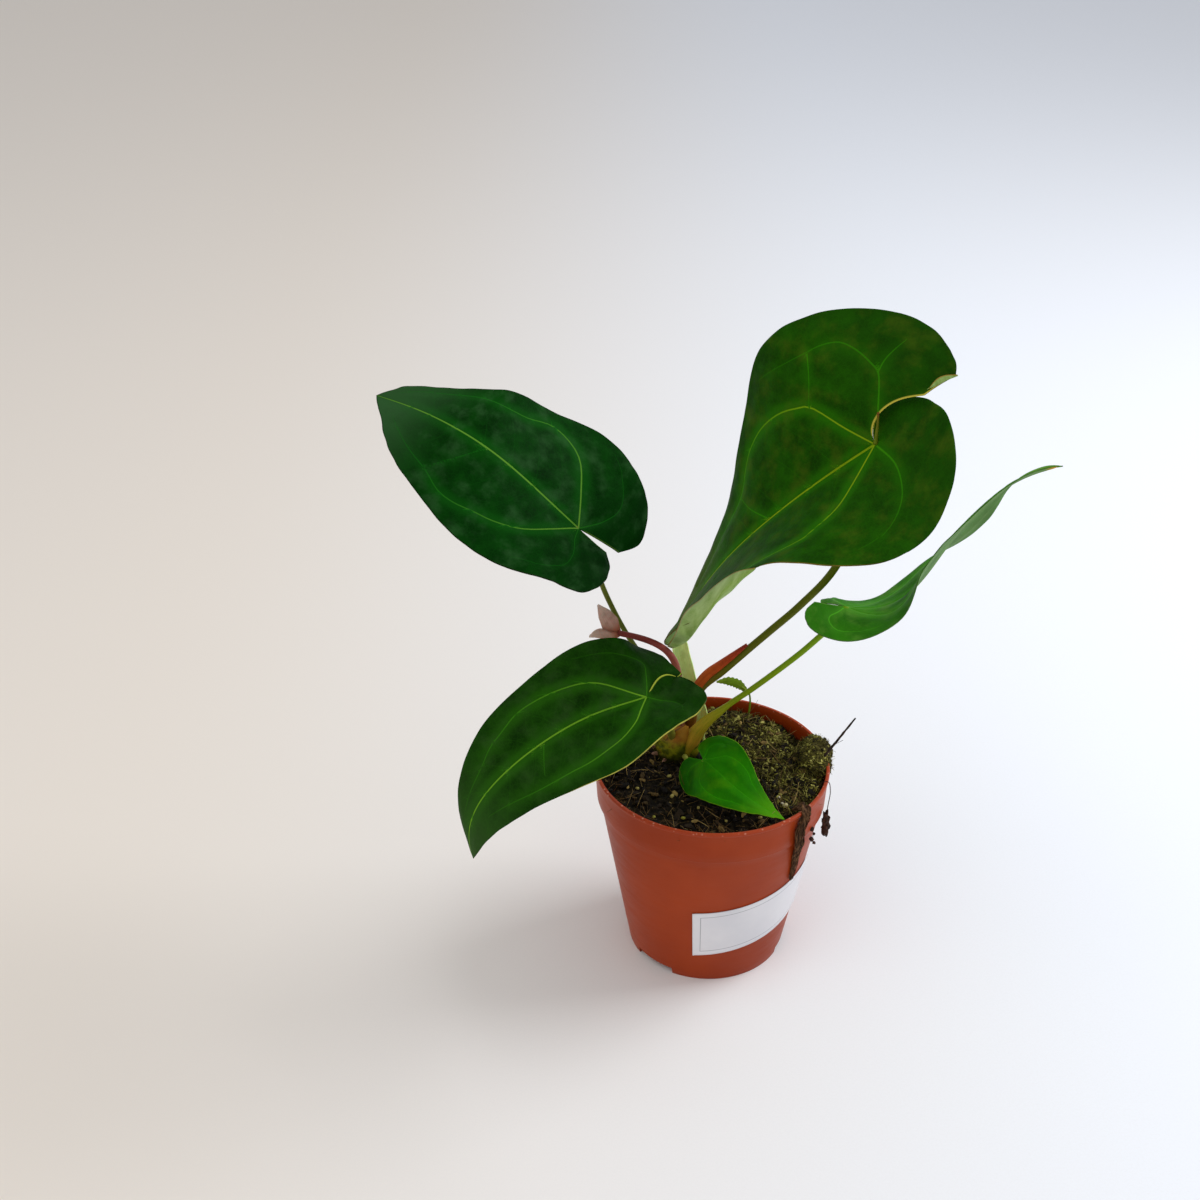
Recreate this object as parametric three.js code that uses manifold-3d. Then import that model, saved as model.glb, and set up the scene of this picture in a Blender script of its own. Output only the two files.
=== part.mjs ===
// A potted anthurium: five heart-shaped leaves on stalks from one short stem, in a 12 cm nursery pot.
// Millimetres, +Z up. The origin is the middle of the pot's underside, and the plant's front is -Y.
import * as THREE from "three";
import { mergeVertices } from "three/addons/utils/BufferGeometryUtils.js";
import Module from "manifold-3d";

const wasm = await Module();
wasm.setup();

// The clearance between neighbours that touch on the real plant, and round what stands in a hole.
const GAP = 0.3;
const HOLE_GAP = 0.45;

// The pot: a tapered wall with a collar at the top, a rim bead, and a foot ring under the floor.
const POT_HEIGHT = 110;
const RIM_RADIUS = 60;
const FOOT_RADIUS = 41;
const WALL = 1.2;
const COLLAR_HEIGHT = 19;
const COLLAR_STEP = 1.4;
const COLLAR_DRAFT = 1;
const BEAD_HEIGHT = 2;
const BEAD_STEP = 0.5;
const ROUNDING = 0.4;
const FLOOR_HEIGHT = 4;
const PAD_RADIUS = 12;
const FOOT_RING_WIDTH = 3.5;
const POT_SIDES = 48;
const DRAIN_HOLES = 8;
const DRAIN_RADIUS = 3.2;
const DRAIN_CIRCLE = 25;
const DRAIN_SIDES = 12;
const NOTCHES = 3;
const NOTCH_HEIGHT = 3.8;
const NOTCH_WIDTH = 23;
const FIRST_NOTCH = -134;

const COLLAR_FOOT = POT_HEIGHT - COLLAR_HEIGHT;
const WALL_TOP_RADIUS = RIM_RADIUS - BEAD_STEP - COLLAR_DRAFT - COLLAR_STEP;

// The sticker: a band of paper that climbs a little to the right as it goes round the wall.
const STICKER_FROM = -102;
const STICKER_TO = -18;
const STICKER_MIDDLE = 35.5;
const STICKER_CLIMB = 0.135;
const STICKER_HEIGHT = 32.5;
const STICKER_THICKNESS = 0.35;
const STICKER_STEP = 6;

// The soil: a little above the collar's step, higher at the front and the right, with a lumpy top.
const SOIL_LEVEL = 101.5;
const SOIL_TILT = 2.2;
const SOIL_LUMP = 0.9;
const SOIL_RINGS = 8;
const SOIL_SIDES = 32;

// The stem, and where it stands in the pot.
const STEM = { x: -18, y: 20.5, foot: 78, top: 120, radius: 10.5, sides: 16 };

// A half of a blade, in leaf lengths from the stalk: the corners round its lobe, from the end of the notch
// on, and then its widths at places along the midrib, as far as the tip. A corner below zero reaches
// over the other half. A gape turns the margin of the notch away from it by an angle in degrees, most at
// the stalk and none past its reach, a share of the way to the first corner.
const WIDTH_PLACES = [-0.02, 0.16, 0.36, 0.56, 0.75, 0.9];
const TIP = [1, 0];
const OUTLINE_WIDTH = 0.77;
const PLAIN_HALF = {
  corners: [[-0.2, 0.07], [-0.265, 0.16], [-0.255, 0.26], [-0.17, 0.34]],
  widths: [0.385, 0.385, 0.335, 0.25, 0.155, 0.065],
};

// Where along the midrib, in leaf lengths from the stalk, a leaf's angles are given.
const STATIONS = [-0.3, 0, 0.35, 0.7, 1];
const LOBE_LENGTH = 0.25;
const MIDRIB_STEPS = 52;
const BLADE_RINGS = [0.1, 0.24, 0.45, 0.66, 0.84, 1];
const STRAIGHT_NOTCH = { angle: 0, reach: 1, power: 1 };
const BLADE_THICKNESS = 0.8;
const STALK_STEPS = 16;
const STALK_SIDES = 8;
const NOTCH_DISC = { radius: 2, height: 1.8 };

// The leaves. At each station the midrib has a heading (from +X towards +Y), a pitch above the level and
// a roll about itself, in degrees. Lift folds each half up from the midrib, and curl cups it towards
// its margin. Shear, lobe and back shape each lobe beside the notch: how far it closes over the notch,
// how far it rises, and how long it is. Left is the half at the left of one who looks to the tip.
const LEAVES = {
  right_leaf: {
    junction: [62.1, 1.2, 201.6],
    length: 129.6,
    width: 0.419,
    heading: [-37, -3, 25, 12, -13],
    pitch: [14, -11, 49, 42, 18],
    roll: [-14, -27, -39, -19, 19],
    left: {
      lift: [-14, 11, 7, -37, 16],
      curl: [-18, -16, -2, -41, -12],
      shear: 0.027,
      lobe: -0.061,
      back: 0.397,
      corners: [[-0.236, 0.007], [-0.249, 0.15], [-0.215, 0.21], [-0.127, 0.26]],
      widths: [0.366, 0.397, 0.335, 0.235, 0.124, 0.057],
    },
    right: {
      lift: [-23, -31, 15, 19, 68],
      curl: [8, -5, -6, -9, -47],
      shear: 0.053,
      lobe: 0.024,
      back: 0.548,
      corners: [[-0.213, 0.048], [-0.243, 0.15], [-0.225, 0.245], [-0.165, 0.33]],
      widths: [0.384, 0.385, 0.37, 0.257, 0.176, 0.055],
    },
    steps: 16,
    colour: 0x3f7a2a,
    stalkColour: 0x7d9436,
    stalk: [
      [-13, 16, 106],
      [-10.7, 14.5, 112],
      [-7.2, 13.8, 118.7],
      [-2.2, 13.2, 126],
      [4.2, 12.8, 132.3],
      [10.5, 12.5, 138.4],
      [19.3, 12, 146],
      [42, 7, 170.7],
      [55, 4, 187],
    ],
    from: 5.4,
    to: 1.5,
  },
  large_leaf: {
    junction: [64.3, -27.3, 302],
    length: 170,
    width: 0.702,
    heading: [152, 160, 160, 137, 139],
    pitch: [-42, -42, -48, -59, -66],
    roll: [-70, -62, -51, -56, -45],
    left: {
      lift: [29, 21, 35, 31, 35],
      curl: [-25, 11, 26, 2, 16],
      shear: 0.219,
      lobe: -0.027,
      back: 1.067,
      gape: { angle: -42, reach: 1, power: 0.5 },
      corners: [[-0.135, -0.05], [-0.176, 0.03], [-0.194, 0.15], [-0.155, 0.275]],
      widths: [0.385, 0.388, 0.298, 0.271, 0.17, 0.1],
    },
    right: {
      lift: [-14, 20, -9, -22, -17],
      curl: [5, -13, 12, 7, 8],
      shear: 0.09,
      lobe: 0.012,
      back: 1.022,
      gape: { angle: 66, reach: 0.65, power: 1.25 },
      corners: [[-0.28, 0.083], [-0.293, 0.135], [-0.265, 0.235], [-0.181, 0.325]],
      widths: [0.414, 0.422, 0.318, 0.21, 0.172, 0.073],
    },
    steps: 20,
    colour: 0x2a5a1c,
    stalkColour: 0x5c6b2c,
    stalk: [
      [-11, 23, 108],
      [-6.3, 21.5, 139.5],
      [5.5, 21, 151.9],
      [28.2, 20, 176],
      [42.3, 19.5, 191.2],
      [57.8, 17, 214],
      [69, 8, 262],
    ],
    from: 3.1,
    to: 1.9,
  },
  low_leaf: {
    junction: [-34.9, -36.6, 174.2],
    length: 129.6,
    width: 0.556,
    heading: [221, 201, 202, 203, 209],
    pitch: [-66, -8, -23, -49, -106],
    roll: [10, -2, -31, -30, 0],
    left: {
      lift: [11, 12, 11, -3, -4],
      curl: [-27, -5, -11, -18, -14],
      shear: 0.205,
      lobe: 0.032,
      back: 0.636,
      corners: [[-0.23, 0.015], [-0.255, 0.17], [-0.245, 0.31], [-0.14, 0.362]],
      widths: [0.368, 0.397, 0.324, 0.249, 0.182, 0.101],
    },
    right: {
      lift: [-31, 23, 14, 15, -21],
      curl: [-5, 15, 4, -29, -5],
      shear: 0.009,
      lobe: -0.005,
      back: 0.699,
      corners: [[-0.23, 0.015], [-0.235, 0.15], [-0.235, 0.265], [-0.185, 0.355]],
      widths: [0.349, 0.363, 0.305, 0.248, 0.139, 0.062],
    },
    steps: 18,
    colour: 0x24501f,
    stalkColour: 0x66752e,
    stalk: [[-18, 17, 108], [-21, 10, 122], [-25, -3, 138], [-30, -18, 152]],
    from: 2.6,
    to: 1.7,
  },
  young_leaf: {
    junction: [-5, -9.5, 118],
    length: 55,
    width: 0.67,
    heading: [-65, -62, -50, -34, -26],
    pitch: [19, 10, -12, -16, -15],
    roll: [31, 28, 18, 5, -4],
    left: {
      ...PLAIN_HALF,
      lift: [-8, -8, -1, 1, 4],
      curl: [-8, -2, 2, 4, 9],
      shear: 0,
      lobe: 0,
      back: 1,
    },
    right: {
      ...PLAIN_HALF,
      lift: [-15, -13, 0, 4, 9],
      curl: [-15, -18, -10, -8, 0],
      shear: 0.1,
      lobe: 0,
      back: 1,
    },
    steps: 10,
    colour: 0x4d8f2c,
    stalkColour: 0x7d9436,
    stalk: [[-14, 14, 105], [-12, 4, 108], [-8, -5, 112]],
    from: 1.7,
    to: 1.1,
  },
  left_leaf: {
    junction: [-67.1, -2.2, 246.3],
    length: 131.6,
    width: 0.762,
    heading: [168, 165, 171, 135, 139],
    pitch: [27, 41, 40, 0, -4],
    roll: [-13, -15, -31, -25, -46],
    left: {
      lift: [17, 18, -9, -12, 23],
      curl: [20, -10, 9, 12, 16],
      shear: 0.143,
      lobe: -0.007,
      back: 0.506,
      corners: [[-0.262, 0.006], [-0.331, 0.109], [-0.323, 0.25], [-0.221, 0.37]],
      widths: [0.369, 0.381, 0.347, 0.27, 0.185, 0.084],
    },
    right: {
      lift: [11, 9, -5, -9, 7],
      curl: [8, 10, -17, 3, 17],
      shear: 0.12,
      lobe: -0.019,
      back: 0.697,
      corners: [[-0.246, 0.047], [-0.324, 0.15], [-0.285, 0.25], [-0.19, 0.31]],
      widths: [0.352, 0.39, 0.337, 0.254, 0.138, 0.058],
    },
    steps: 18,
    colour: 0x1d4a1c,
    stalkColour: 0x56642a,
    stalk: [
      [-16, 27, 108],
      [-23.6, 23, 133],
      [-31.7, 19, 154],
      [-44.6, 14, 179.7],
      [-54, 10, 203],
      [-64, 9, 232],
    ],
    from: 2.4,
    to: 1.3,
  },
};

// A three.js geometry as a solid that can be joined and cut.
function solidOf(geometry) {
  const bare = new THREE.BufferGeometry();
  bare.setAttribute("position", geometry.getAttribute("position"));
  bare.setIndex(geometry.index);
  const merged = mergeVertices(bare, 1e-4);
  return new wasm.Manifold(
    new wasm.Mesh({
      numProp: 3,
      vertProperties: merged.getAttribute("position").array,
      triVerts: new Uint32Array(merged.index.array),
    }),
  );
}

// The largest piece of a solid, without the scraps that a cut leaves.
function largest(solid) {
  return solid.decompose().reduce((best, piece) => (piece.volume() > best.volume() ? piece : best));
}

// Cuts a solid clear of its neighbours, which are given with the gap already added.
function clearOf(solid, ...neighbours) {
  return largest(neighbours.reduce((rest, neighbour) => rest.subtract(neighbour), solid));
}

const plant = new THREE.Group();

// Adds a solid to the plant as a named mesh of one colour.
function add(name, solid, colour, roughness) {
  const { vertProperties, triVerts } = solid.getMesh();
  const geometry = new THREE.BufferGeometry();
  geometry.setAttribute("position", new THREE.BufferAttribute(vertProperties, 3));
  geometry.setIndex(new THREE.BufferAttribute(triVerts, 1));
  geometry.computeVertexNormals();
  const mesh = new THREE.Mesh(geometry, new THREE.MeshStandardMaterial({ color: colour, roughness }));
  mesh.name = name;
  plant.add(mesh);
}

// A solid turned from a profile of [radius, height] points about the Z axis.
function turned(profile, sides) {
  const lathe = new THREE.LatheGeometry(profile.map(([r, z]) => new THREE.Vector2(r, z)), sides);
  return solidOf(lathe.rotateX(Math.PI / 2));
}

// A smooth curve through points given as [x, y, z].
function curveThrough(points) {
  return new THREE.CatmullRomCurve3(points.map((p) => new THREE.Vector3(...p)), false, "centripetal");
}

// A round stalk along a curve, with its radius given by a function of the way along it.
function stalkAlong(points, radiusAt, steps, sides) {
  const curve = curveThrough(points);
  const frames = curve.computeFrenetFrames(steps, false);
  const tube = new THREE.CylinderGeometry(1, 1, 1, sides, steps);
  const position = tube.getAttribute("position");
  for (let i = 0; i < position.count; i++) {
    const along = position.getY(i) + 0.5;
    const step = Math.round(along * steps);
    const radius = radiusAt(along);
    const point = curve.getPointAt(along);
    point.addScaledVector(frames.binormals[step], radius * position.getX(i));
    point.addScaledVector(frames.normals[step], radius * position.getZ(i));
    position.setXYZ(i, point.x, point.y, point.z);
  }
  return solidOf(tube);
}

// A thin skin made solid: rows of points, a closed or open sheet, get half the thickness on each side.
// Both faces are split into triangles alike.
function thickened(points, faces, border, thickness) {
  const sheet = new THREE.BufferGeometry().setFromPoints(points);
  sheet.setIndex(faces.flat());
  sheet.computeVertexNormals();
  const normals = sheet.getAttribute("normal");
  const skin = [1, -1].flatMap((side) =>
    points.map((p, i) => {
      const normal = new THREE.Vector3().fromBufferAttribute(normals, i);
      return p.clone().addScaledVector(normal, (side * thickness) / 2);
    }),
  );
  const under = points.length;
  const top = faces.flat();
  const bottom = faces.flatMap(([a, b, c]) => [under + a, under + c, under + b]);
  const edge = border.flatMap((a, i) => {
    const b = border[(i + 1) % border.length];
    return [a, under + a, b, b, under + a, under + b];
  });
  const body = new THREE.BufferGeometry().setFromPoints(skin);
  body.setIndex([...top, ...bottom, ...edge]);
  return solidOf(body);
}

// A strip: rows of points across a sheet, made solid.
function strip(rows, thickness) {
  const across = rows[0].length;
  const last = rows.length - 1;
  const faces = [];
  for (let r = 0; r < last; r++) {
    for (let c = 0; c < across - 1; c++) {
      const a = r * across + c;
      faces.push([a, a + 1, a + across], [a + 1, a + across + 1, a + across]);
    }
  }
  const border = [];
  for (let c = 0; c < across - 1; c++) border.push(c);
  for (let r = 0; r < last; r++) border.push(r * across + across - 1);
  for (let c = across - 1; c > 0; c--) border.push(last * across + c);
  for (let r = last; r > 0; r--) border.push(r * across);
  return thickened(rows.flat(), faces, border, thickness);
}

// Values at the stations, joined smoothly.
function eased(values) {
  const spline = new THREE.SplineCurve(values.map((value, i) => new THREE.Vector2(i, value)));
  return (x) => {
    let i = 0;
    while (i < STATIONS.length - 2 && x > STATIONS[i + 1]) i++;
    const share = (x - STATIONS[i]) / (STATIONS[i + 1] - STATIONS[i]);
    return spline.getPoint((i + share) / (STATIONS.length - 1)).y;
  };
}

// The midrib of a leaf: at each of its steps a point, the way along it, the way to its left, and up.
function midribOf(leaf) {
  const heading = eased(leaf.heading);
  const pitch = eased(leaf.pitch);
  const roll = eased(leaf.roll);
  const first = STATIONS[0];
  const step = (STATIONS.at(-1) - first) / MIDRIB_STEPS;
  const frames = [];
  for (let i = 0; i <= MIDRIB_STEPS; i++) {
    const x = first + i * step;
    const [h, p, r] = [heading(x), pitch(x), roll(x)].map(THREE.MathUtils.degToRad);
    const along = new THREE.Vector3(Math.cos(p) * Math.cos(h), Math.cos(p) * Math.sin(h), Math.sin(p));
    const level = new THREE.Vector3(-Math.sin(h), Math.cos(h), 0);
    const above = along.clone().cross(level);
    const left = level.clone().multiplyScalar(Math.cos(r)).addScaledVector(above, Math.sin(r));
    const up = above.clone().multiplyScalar(Math.cos(r)).addScaledVector(level, -Math.sin(r));
    frames.push({ point: new THREE.Vector3(), along, left, up });
  }
  for (let i = 1; i <= MIDRIB_STEPS; i++) {
    const middle = frames[i - 1].along.clone().add(frames[i].along).multiplyScalar(0.5 * step * leaf.length);
    frames[i].point.copy(frames[i - 1].point).add(middle);
  }
  const stalkStep = Math.round(-first / step);
  const shift = new THREE.Vector3(...leaf.junction).sub(frames[stalkStep].point);
  for (const frame of frames) frame.point.add(shift);
  return (x) => {
    const place = Math.min(Math.max((x - first) / step, 0), MIDRIB_STEPS);
    const i = Math.min(Math.floor(place), MIDRIB_STEPS - 1);
    const share = place - i;
    const between = (key) => frames[i][key].clone().lerp(frames[i + 1][key], share);
    return { point: between("point"), along: between("along"), left: between("left"), up: between("up") };
  };
}

// The upper surface of a leaf: the point in space of a flat point, in leaf lengths, of the half on a side.
function surfaceOf(leaf) {
  const midrib = midribOf(leaf);
  const halves = [leaf.left, leaf.right].map((half) => ({
    ...half,
    liftAt: eased(half.lift),
    curlAt: eased(half.curl),
  }));
  return (flatX, width, side) => {
    const half = side > 0 ? halves[0] : halves[1];
    const x = flatX < 0 ? Math.max(flatX * half.back, STATIONS[0]) : flatX;
    const { point, left, up } = midrib(x);
    const behind = Math.max(-x, 0);
    const lobe = (behind / LOBE_LENGTH) ** 2;
    const out = width - half.shear * behind * lobe;
    const lift = THREE.MathUtils.degToRad(half.liftAt(x));
    const bend = (out / (leaf.width / 2)) * THREE.MathUtils.degToRad(half.curlAt(x));
    const flat = Math.abs(bend) < 1e-4;
    const across = out * leaf.length * (flat ? 1 : Math.sin(bend) / bend);
    const rise = out * leaf.length * (flat ? bend / 2 : (1 - Math.cos(bend)) / bend);
    const height = across * Math.sin(lift) + rise * Math.cos(lift) + half.lobe * lobe * leaf.length;
    const aside = across * Math.cos(lift) - rise * Math.sin(lift);
    return point.addScaledVector(left, side * aside).addScaledVector(up, height);
  };
}

// One half of a blade, as columns of points from the stalk out to the edge, from the notch to the tip.
function halfBlade(leaf, side, surface) {
  const { gape = STRAIGHT_NOTCH, corners, widths } = side > 0 ? leaf.left : leaf.right;
  const widen = leaf.width / OUTLINE_WIDTH;
  const points = [...corners, ...widths.map((width, i) => [WIDTH_PLACES[i], width]), TIP];
  const spline = new THREE.SplineCurve(points.map(([x, y]) => new THREE.Vector2(x, y * widen)));
  const edge = spline.getPoints(leaf.steps);
  const fromNotch = ({ x, y }) => Math.PI - Math.atan2(y, -x);
  const stalkEnd = new THREE.Vector2();
  return edge.map((end) =>
    BLADE_RINGS.map((ring) => {
      const closeness = (1 - Math.min(1, ring / gape.reach)) ** gape.power;
      const turn = (THREE.MathUtils.degToRad(gape.angle) * closeness * fromNotch(end)) / fromNotch(edge[0]);
      const { x, y } = end.clone().multiplyScalar(ring).rotateAround(stalkEnd, -turn);
      return surface(x, y, side);
    }),
  );
}

// The blade of a leaf as a solid: rings of points round the stalk, open at the notch.
function blade(leaf, thickness) {
  const surface = surfaceOf(leaf);
  const left = halfBlade(leaf, 1, surface);
  const right = halfBlade(leaf, -1, surface);
  const columns = [...left, ...right.slice(0, -1).reverse()];
  const points = [surface(0, 0, 1), ...BLADE_RINGS.flatMap((_, r) => columns.map((column) => column[r]))];
  const end = columns.length - 1;
  const outer = BLADE_RINGS.length - 1;
  const at = (ring, place) => 1 + ring * columns.length + place;
  const faces = [];
  for (let c = 0; c < end; c++) {
    faces.push([0, at(0, c + 1), at(0, c)]);
    for (let r = 0; r < outer; r++) {
      faces.push([at(r, c), at(r, c + 1), at(r + 1, c)], [at(r, c + 1), at(r + 1, c + 1), at(r + 1, c)]);
    }
  }
  const inner = BLADE_RINGS.slice(0, -1).map((_, r) => r);
  const border = [
    ...columns.map((_, c) => at(outer, end - c)),
    ...inner.toReversed().map((r) => at(r, 0)),
    0,
    ...inner.map((r) => at(r, end)),
  ];
  return thickened(points, faces, border, thickness);
}

// A leaf's blade with a gap all round, and with a disc that closes its notch at the stalk.
function bladeWithGap(leaf) {
  const thickness = BLADE_THICKNESS + 2 * GAP;
  const { point, up } = midribOf(leaf)(0);
  const radius = NOTCH_DISC.radius * leaf.to;
  const disc = new THREE.CylinderGeometry(radius, radius, NOTCH_DISC.height * thickness, STALK_SIDES);
  disc.applyQuaternion(new THREE.Quaternion().setFromUnitVectors(new THREE.Vector3(0, 1, 0), up.normalize()));
  disc.translate(point.x, point.y, point.z);
  return blade(leaf, thickness).add(solidOf(disc));
}

// The wall's outer radius at a height below the collar.
function wallRadius(z) {
  return THREE.MathUtils.mapLinear(z, 0, COLLAR_FOOT, FOOT_RADIUS, WALL_TOP_RADIUS);
}

// The pot, turned from one closed profile, with its drain holes and the notches in its foot cut out.
function pot() {
  const innerFoot = wallRadius(FLOOR_HEIGHT + WALL) - WALL;
  const ringInner = FOOT_RADIUS - FOOT_RING_WIDTH;
  const collarFoot = WALL_TOP_RADIUS + COLLAR_STEP;
  const rim = RIM_RADIUS - BEAD_STEP;
  const body = turned(
    [
      [0, 0],
      [PAD_RADIUS, 0],
      [PAD_RADIUS + WALL, FLOOR_HEIGHT],
      [ringInner, FLOOR_HEIGHT],
      [ringInner + WALL, 0],
      [FOOT_RADIUS, 0],
      [wallRadius(COLLAR_FOOT), COLLAR_FOOT],
      [collarFoot, COLLAR_FOOT + ROUNDING],
      [rim, POT_HEIGHT - BEAD_HEIGHT],
      [RIM_RADIUS, POT_HEIGHT - BEAD_HEIGHT + ROUNDING],
      [RIM_RADIUS, POT_HEIGHT - ROUNDING],
      [RIM_RADIUS - ROUNDING, POT_HEIGHT],
      [rim - WALL, POT_HEIGHT],
      [collarFoot - WALL, COLLAR_FOOT + WALL],
      [wallRadius(COLLAR_FOOT) - WALL, COLLAR_FOOT - WALL],
      [innerFoot, FLOOR_HEIGHT + WALL],
      [PAD_RADIUS, FLOOR_HEIGHT + WALL],
      [PAD_RADIUS - WALL, WALL],
      [0, WALL],
    ],
    POT_SIDES,
  );
  const cutters = [];
  for (let i = 0; i < DRAIN_HOLES; i++) {
    const angle = ((i + 0.5) / DRAIN_HOLES) * 2 * Math.PI;
    const hole = new THREE.CylinderGeometry(DRAIN_RADIUS, DRAIN_RADIUS, 4 * WALL, DRAIN_SIDES);
    hole.rotateX(Math.PI / 2);
    hole.translate(DRAIN_CIRCLE * Math.cos(angle), DRAIN_CIRCLE * Math.sin(angle), FLOOR_HEIGHT);
    cutters.push(solidOf(hole));
  }
  for (let i = 0; i < NOTCHES; i++) {
    const notch = new THREE.BoxGeometry(4 * FOOT_RING_WIDTH, NOTCH_WIDTH, 2 * NOTCH_HEIGHT);
    notch.translate(FOOT_RADIUS, 0, 0);
    notch.rotateZ(THREE.MathUtils.degToRad(FIRST_NOTCH + (360 / NOTCHES) * i));
    cutters.push(solidOf(notch));
  }
  return cutters.reduce((rest, cutter) => rest.subtract(cutter), body);
}

// The pot's wall above the sticker, thicker by a gap all round, to cut what lies against it.
function wallWithGap() {
  const foot = COLLAR_FOOT / 2;
  const rim = RIM_RADIUS - BEAD_STEP;
  return turned(
    [
      [wallRadius(foot) - WALL - GAP, foot],
      [wallRadius(foot) + GAP, foot],
      [wallRadius(COLLAR_FOOT) + GAP, COLLAR_FOOT - GAP],
      [WALL_TOP_RADIUS + COLLAR_STEP + GAP, COLLAR_FOOT - GAP],
      [rim + GAP, POT_HEIGHT - BEAD_HEIGHT - GAP],
      [RIM_RADIUS + GAP, POT_HEIGHT - BEAD_HEIGHT - GAP],
      [RIM_RADIUS + GAP, POT_HEIGHT + GAP],
      [rim - WALL - GAP, POT_HEIGHT + GAP],
      [wallRadius(COLLAR_FOOT) - WALL - GAP, COLLAR_FOOT],
      [wallRadius(foot) - WALL - GAP, foot],
    ],
    POT_SIDES,
  );
}

// The sticker, a curved sheet a gap outside the wall.
function sticker() {
  const rows = [];
  for (const share of [-0.5, 0.5]) {
    const row = [];
    for (let angle = STICKER_FROM; angle <= STICKER_TO; angle += STICKER_STEP) {
      const z = STICKER_MIDDLE + STICKER_CLIMB * (angle - STICKER_FROM) + share * STICKER_HEIGHT;
      const radius = wallRadius(z) + GAP + STICKER_THICKNESS;
      const turn = THREE.MathUtils.degToRad(angle);
      row.push(new THREE.Vector3(radius * Math.cos(turn), radius * Math.sin(turn), z));
    }
    rows.push(row);
  }
  return strip(rows, STICKER_THICKNESS);
}

// The height of the soil's top at a place in the pot.
function soilHeight(x, y) {
  const tilt = (SOIL_TILT * (x - y)) / (2 * RIM_RADIUS);
  const coarse = Math.sin(x / 6.5 + 1) * Math.cos(y / 7.5);
  const fine = Math.sin(x / 2.9 + y / 3.4) * Math.cos(y / 3.1 - x / 5.3);
  return SOIL_LEVEL + tilt + SOIL_LUMP * (coarse + 0.6 * fine);
}

// The soil: side rings that follow the inside of the pot, and a lumpy top.
function soil() {
  const inside = (z) => wallRadius(z) - WALL - HOLE_GAP;
  const foot = FLOOR_HEIGHT + WALL + GAP;
  const rings = [
    { radius: inside(foot), height: () => foot },
    { radius: inside(COLLAR_FOOT - 1), height: () => COLLAR_FOOT - 1 },
  ];
  const edge = WALL_TOP_RADIUS + COLLAR_STEP - WALL - HOLE_GAP;
  rings.push({ radius: edge, height: () => COLLAR_FOOT + 1.5 });
  for (let i = SOIL_RINGS; i > 0; i--) {
    rings.push({ radius: (edge * i) / SOIL_RINGS, height: soilHeight });
  }
  const points = [new THREE.Vector3(0, 0, foot)];
  for (const { radius, height } of rings) {
    for (let s = 0; s < SOIL_SIDES; s++) {
      const angle = (s / SOIL_SIDES) * 2 * Math.PI;
      const [x, y] = [radius * Math.cos(angle), radius * Math.sin(angle)];
      points.push(new THREE.Vector3(x, y, height(x, y)));
    }
  }
  points.push(new THREE.Vector3(0, 0, soilHeight(0, 0)));
  const faces = [];
  const top = points.length - 1;
  const lastRing = top - SOIL_SIDES;
  for (let s = 0; s < SOIL_SIDES; s++) {
    const next = (s + 1) % SOIL_SIDES;
    faces.push([0, 1 + next, 1 + s], [top, lastRing + s, lastRing + next]);
    for (let r = 0; r < rings.length - 1; r++) {
      const low = 1 + r * SOIL_SIDES;
      const high = low + SOIL_SIDES;
      faces.push([low + s, low + next, high + s], [low + next, high + next, high + s]);
    }
  }
  const body = new THREE.BufferGeometry().setFromPoints(points);
  body.setIndex(faces.flat());
  return solidOf(body);
}

// The moss clump that spills over the rim at the right.
const MOSS = { centre: [54, 9, 106], radii: [8.5, 15, 8.5], sides: 12 };

function mossClump(extra) {
  const ball = new THREE.SphereGeometry(1, MOSS.sides, MOSS.sides / 2);
  const [a, b, c] = MOSS.radii;
  ball.scale(a + extra, b + extra, c + extra).translate(...MOSS.centre);
  return solidOf(ball);
}

// The short stem, with root nubs that stand out from its foot.
const ROOT_NUBS = [
  { angle: 172, tilt: 8, length: 15, radius: 1.5, height: 103 },
  { angle: 205, tilt: 14, length: 14, radius: 1.7, height: 101 },
  { angle: 238, tilt: 4, length: 13, radius: 1.4, height: 102 },
  { angle: 290, tilt: -6, length: 13, radius: 1.5, height: 102 },
  { angle: 20, tilt: 0, length: 13, radius: 1.4, height: 103 },
];

function stem(extra) {
  const { foot, top, radius, sides } = STEM;
  const body = turned(
    [
      [0, foot - extra],
      [0.5 * radius + extra, foot + 3],
      [0.8 * radius + extra, foot + 14],
      [0.97 * radius + extra, foot + 24],
      [radius + extra, foot + 31],
      [0.82 * radius + extra, top - 5],
      [0.5 * radius + extra, top - 1.5],
      [0.25 * radius + extra, top - 0.4 + extra],
      [0, top + extra],
    ],
    sides,
  );
  const nubs = ROOT_NUBS.map(({ angle, tilt, length, radius: thick, height }) => {
    const nub = new THREE.CylinderGeometry(0.45 * thick + extra, thick + extra, length + extra, 8);
    nub.translate(0, length / 2, 0).rotateZ(THREE.MathUtils.degToRad(tilt - 90));
    nub.rotateX(Math.PI / 2).rotateZ(THREE.MathUtils.degToRad(angle)).translate(0, 0, height);
    return solidOf(nub);
  });
  return nubs.reduce((whole, nub) => whole.add(nub), body).translate([STEM.x, STEM.y, 0]);
}

// A leaf's stalk, from inside the stem up to its blade. It narrows quickly above its foot, and it has a
// slight knee just below the blade, where it turns to meet the blade from below.
const STALK_FOOT = 0.3;
const KNEE = { at: 0.96, halfLength: 0.06, swell: 0.25, bend: 4 };

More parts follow.
